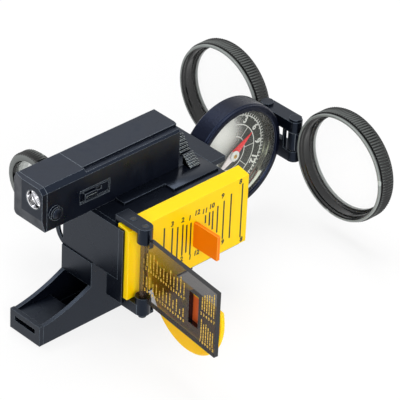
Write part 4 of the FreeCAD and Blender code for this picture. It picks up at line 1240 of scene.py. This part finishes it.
# ---------------------------------------------------------------- housing top
@dataclass
class HousingTop:
    """The raised deck on the housing and the two stepped thumb grips beside the torch."""

    base_z: float = 41.5
    deck: float = 0.8
    deck_outline: tuple[Pair, ...] = (
        (-1.3, -10.3), (16.0, -10.3), (16.0, -14.3), (35.5, -14.3), (35.5, -5.8), (-1.3, -5.8))
    grip_steps: int = 6
    grip_length: float = 4.2
    grip_depth: float = 4.0

    def grip(self, x: float, y: float, low: float, high: float) -> list[Shape]:
        """Make one thumb grip that climbs in fine steps.

        Args:
            x: its lowest X, in mm.
            y: its near side, in mm.
            low: the height of its foot, in mm.
            high: its height at the far side, in mm.

        Returns:
            Its steps.
        """
        rise = (high - low) / self.grip_steps
        run = self.grip_depth / self.grip_steps
        far = y + self.grip_depth
        return [block((x, y + run * i, low), (x + self.grip_length, far, low + rise * (i + 1)), round_mm=0.1)
                for i in range(self.grip_steps)]

    def build(self) -> None:
        """Build the deck with its grip, and the rear grip."""
        top = self.base_z + self.deck
        deck = slab(list(self.deck_outline), self.base_z, top, round_mm=0.12)
        new_piece("raised_deck", [deck], Finish.BLACK, "body", "top_deck")
        new_piece("stepped_deck_grip", self.grip(28.1, -9.2, top - 0.1, 45.8), Finish.GRIP_BLACK, "body",
                  "top_deck")
        new_piece("stepped_rear_grip", self.grip(32.0, -0.3, self.base_z, 46.6), Finish.GRIP_BLACK, "body",
                  "rear_grip_pad")


# ---------------------------------------------------------------- torch
@dataclass
class Torch:
    """The torch's reflector with its rim and bulb, the switch's bar and rails, and the rivet on its side."""

    lamp_y: float = -1.5
    lamp_z: float = 52.0
    mouth_x: float = -29.4
    depth: float = 5.5
    recess_x: Pair = (-16.0, -3.6)
    recess_deep: float = 0.7
    switch_x: Pair = (-14.6, -9.6)
    switch_z: float = 48.1
    switch_proud: float = 0.9
    switch_height: float = 2.6
    rail_steps: Pair = (0.4, 0.9)
    rail_half: float = 0.13
    boss: Pair = (-26.2, 47.4)
    boss_proud: float = 1.0

    def lamp(self) -> None:
        """Turn the curved reflector, the rim in front of it, and the bulb with its rounded glass."""
        back = placed((self.mouth_x + self.depth, self.lamp_y, self.lamp_z), -AXIS_X)
        mouth = placed((self.mouth_x, self.lamp_y, self.lamp_z), -AXIS_X)
        bowl = [(2.02, 0.0), (2.1, 0.8), (2.3, 2.0), (2.6, 3.3), (2.9, 4.4), (3.1, 5.2), (3.28, 5.5),
                (3.28, 5.3), (3.2, 4.3), (2.95, 3.3), (2.65, 2.0), (2.5, 0.0)]
        lining = [(3.27, 0.0), (3.27, 1.75), (3.1, 1.9), (2.95, 1.75), (3.0, 0.0)]
        glass = [(0.0, -1.2), (1.95, -1.2), (1.95, 0.0), (1.3, 0.1), (1.3, 2.0), (1.25, 2.7), (1.05, 3.3),
                 (0.7, 3.65), (0.3, 3.78), (0.0, 3.8)]
        new_piece("curved_reflector", [turned(bowl, back, 72)], Finish.CHROME, "body",
                  "reflector")
        new_piece("reflector_rim", [turned(lining, mouth, 72)], Finish.CHROME, "body")
        new_piece("rounded_bulb", [turned(glass, back, 48)], Finish.BULB, "body", "bulb")

    def switch(self) -> None:
        """Add the level thumb bar to the slide switch, and the guide rails in its recess, clear of it."""
        face = TORCH_SIDE_Y - self.switch_proud
        bar = block((self.switch_x[0] + 0.5, face - 0.3, self.switch_z - 0.45),
                    (self.switch_x[1] - 0.5, face + 0.2, self.switch_z + 0.55), round_mm=0.15)
        new_piece("switch_bar", [bar], Finish.GRIP_BLACK, "switch")
        rails = []
        for way in (-1.0, 1.0):
            for step in self.rail_steps:
                z = self.switch_z + way * (self.switch_height / 2.0 + step)
                low = (self.recess_x[0] + 0.3, TORCH_SIDE_Y + 0.03, z - self.rail_half)
                high = (self.recess_x[1] - 0.3, TORCH_SIDE_Y + self.recess_deep, z + self.rail_half)
                rails.append(block(low, high, round_mm=0.05))
        new_piece("switch_rails", rails, Finish.TORCH_BLACK, "body")

    def rivet(self) -> None:
        """Turn the domed rivet on the torch's round boss."""
        x, z = self.boss
        dome = [(0.0, 0.0), (1.7, 0.0), (1.7, 0.1), (1.3, 0.35), (0.7, 0.5), (0.0, 0.55)]
        rivet = turned(dome, placed((x, TORCH_SIDE_Y - self.boss_proud, z), -AXIS_Y), 48)
        new_piece("boss_rivet", [rivet], Finish.TORCH_BLACK, "body")

    def build(self) -> None:
        """Build every piece of the torch."""
        self.lamp()
        self.switch()
        self.rivet()


# ---------------------------------------------------------------- hinge trim
@dataclass
class HingeTrim:
    """Pin ends in the upper knuckle, made to look sunk by painted shade, and the pin's nut and clip under the
    lower one.
    """

    knuckle_top: float = 44.6
    knuckle_foot: float = 12.2
    end_spacing: float = 5.4
    clip_width: Pair = (-1.5, -0.3)

    def sunk_ends(self) -> None:
        """Turn the raised lips round the two pin ends, and black discs of painted shade inside them that
        stand for their hollows.
        """
        x, y = CARD_HINGE
        places = [placed((x, y + shift, self.knuckle_top)) for shift in (0.0, self.end_spacing)]
        lip = [(0.75, 0.0), (1.15, 0.0), (1.1, 0.14), (0.85, 0.16)]
        new_piece("pin_end_lips", [turned(lip, place, 40) for place in places], Finish.BLACK, "body")
        # painted shade: a black disc on each pin end stands in for the shade in its hollow
        new_piece("pin_end_painted_shade", [turned(tube(0.0, 0.8, 0.0, INK_FILM), place, 24) for place in places],
                  Finish.INK_BLACK, "body")

    def clip(self) -> None:
        """Turn the nut under the lower knuckle and bend its small clip."""
        x, y = CARD_HINGE
        z = self.knuckle_foot
        near, far = (y + side for side in self.clip_width)
        nut = [(0.0, 0.0), (1.9, 0.0), (1.9, 0.6), (1.3, 1.0), (1.3, 1.5), (0.6, 1.7), (0.0, 1.7)]
        parts = [turned(nut, placed((x, y, z), -AXIS_Z), 24),
                 block((x + 1.2, near, z - 0.9), (x + 3.4, far, z - 0.1), round_mm=0.15),
                 block((x + 2.8, near, z - 0.9), (x + 3.4, far, z + 1.6), round_mm=0.15)]
        new_piece("pin_clip", parts, Finish.BLACK, "body")

    def build(self) -> None:
        """Build the trim of both knuckles."""
        self.sunk_ends()
        self.clip()


# ---------------------------------------------------------------- studio
@dataclass
class Studio:
    """Pale floor, soft lamps, white surroundings and the camera. Places are in metres."""

    camera_at: Point = (-0.52388, -0.57060, 0.55533)
    azimuth: float = -44.74
    elevation: float = 33.67
    roll: float = 2.70
    lens: float = 265.91
    shift: Pair = (0.00218, -0.00185)
    world_light: float = 0.42
    floor_glow: float = 0.8
    floor_drop: float = 0.0002
    lamp_aim: Point = (0.02, 0.0, 0.02)

    def camera(self) -> None:
        """Place the camera by its azimuth, elevation and roll."""
        a, e, r = (math.radians(v) for v in (self.azimuth, self.elevation, self.roll))
        back = Vector((math.sin(a) * math.cos(e), -math.cos(a) * math.cos(e), math.sin(e)))
        right = (-back).cross(AXIS_Z).normalized()
        up = right.cross(-back).normalized()
        side = right * math.cos(r) + up * math.sin(r)
        top = -right * math.sin(r) + up * math.cos(r)
        data = bpy.data.cameras.new("camera")
        data.lens = self.lens
        data.sensor_width = 36.0
        data.shift_x, data.shift_y = self.shift
        data.clip_start = 0.05
        camera = add_object("camera", data)
        camera.matrix_world = Matrix((side, top, back)).transposed().to_4x4()
        camera.location = self.camera_at
        bpy.context.scene.camera = camera

    def lamp(self, name: str, place: Point, size: float, power: float) -> None:
        """Add one square soft lamp that faces the tool.

        Args:
            name: the lamp's name.
            place: where it stands.
            size: its side, in metres.
            power: its power, in watts.
        """
        data = bpy.data.lights.new(name, "AREA")
        data.size = size
        data.energy = power
        light = add_object(name, data)
        light.location = place
        light.rotation_euler = (Vector(place) - Vector(self.lamp_aim)).to_track_quat("Z", "Y").to_euler()

    def seen_directly(self, tree: Tree) -> Socket:
        """One for camera, gloss and clear-through rays, and nought for the rays that light things.

        Args:
            tree: the node tree that needs it.

        Returns:
            The output that carries it.
        """
        path = add_node(tree, "ShaderNodeLightPath").outputs
        first = sum_of(tree, "MAXIMUM", path["Is Camera Ray"], path["Is Glossy Ray"])
        return sum_of(tree, "MAXIMUM", first, path["Is Transmission Ray"])

    def surroundings(self) -> None:
        """Make the world white to the camera, to gloss and to clear parts, and dimmer as a light."""
        world = bpy.data.worlds.new("studio")
        bpy.context.scene.world = world
        world.use_nodes = True
        tree = world.node_tree
        tree.nodes.clear()
        level = ranged(tree, self.seen_directly(tree), 0.0, 1.0, self.world_light, 1.0)
        light = add_node(tree, "ShaderNodeBackground", {"Color": WHITE, "Strength": level})
        add_node(tree, "ShaderNodeOutputWorld", {"Surface": light.outputs["Background"]})

    def floor(self) -> None:
        """Lay a pale floor that keeps the tool's soft shadow."""
        material, tree, shader = blank_material("pale_studio_floor")
        fill(shader, {"Base Color": (0.88, 0.88, 0.88, 1.0), "Roughness": 0.9, "Specular IOR Level": 0.1})
        glow = add_node(tree, "ShaderNodeEmission", {"Color": WHITE, "Strength": 1.0})
        share = sum_of(tree, "MULTIPLY", self.seen_directly(tree), self.floor_glow)
        both = {0: share, 1: shader.outputs["BSDF"], 2: glow.outputs["Emission"]}
        mix = add_node(tree, "ShaderNodeMixShader", both).outputs["Shader"]
        fill(next(n for n in tree.nodes if n.type == "OUTPUT_MATERIAL"), {"Surface": mix})
        sheet = bmesh.new()
        bmesh.ops.create_grid(sheet, x_segments=1, y_segments=1, size=3.0)
        mesh = bpy.data.meshes.new("floor")
        sheet.to_mesh(mesh)
        sheet.free()
        mesh.materials.append(material)
        floor = add_object("floor", mesh)
        floor.location = (0.0, 0.0, -self.floor_drop)

    def build(self) -> None:
        """Set up the whole studio."""
        bpy.context.scene.view_settings.view_transform = "Standard"
        self.camera()
        self.surroundings()
        self.floor()
        self.lamp("top_softbox", (0.1, 0.25, 0.9), 0.7, 6.5)
        self.lamp("front_softbox", (-0.5, -0.9, 0.5), 0.6, 8.5)


def dress_nodes(nodes: dict[str, bpy.types.Object]) -> None:
    """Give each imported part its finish.

    Args:
        nodes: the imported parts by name.
    """
    for finish, names in NODE_FINISH.items():
        for name in names:
            for slot in nodes[name].material_slots:
                slot.material = finish.get()
            LOG.info("%s in %s", name, finish.value.name)


def main() -> None:
    """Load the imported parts, dress them, add the fine parts and set up the studio."""
    logging.basicConfig(level=logging.INFO, format="%(name)s: %(message)s")
    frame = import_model()
    dress_nodes(frame["nodes"])
    rings = (Eyepiece(), LensRing("right", -1), LensRing("left", 1))
    lenses = (rings[1].lens(), rings[2].lens(), rings[0].lens())
    for part in (SundialPrinting(), CardPrinting(), MapSegment(), Compass(), HousingTop(), Torch(),
                 HingeTrim(), *rings, *lenses):
        part.build()
    Studio().build()


if __name__ == "__main__":
    main()
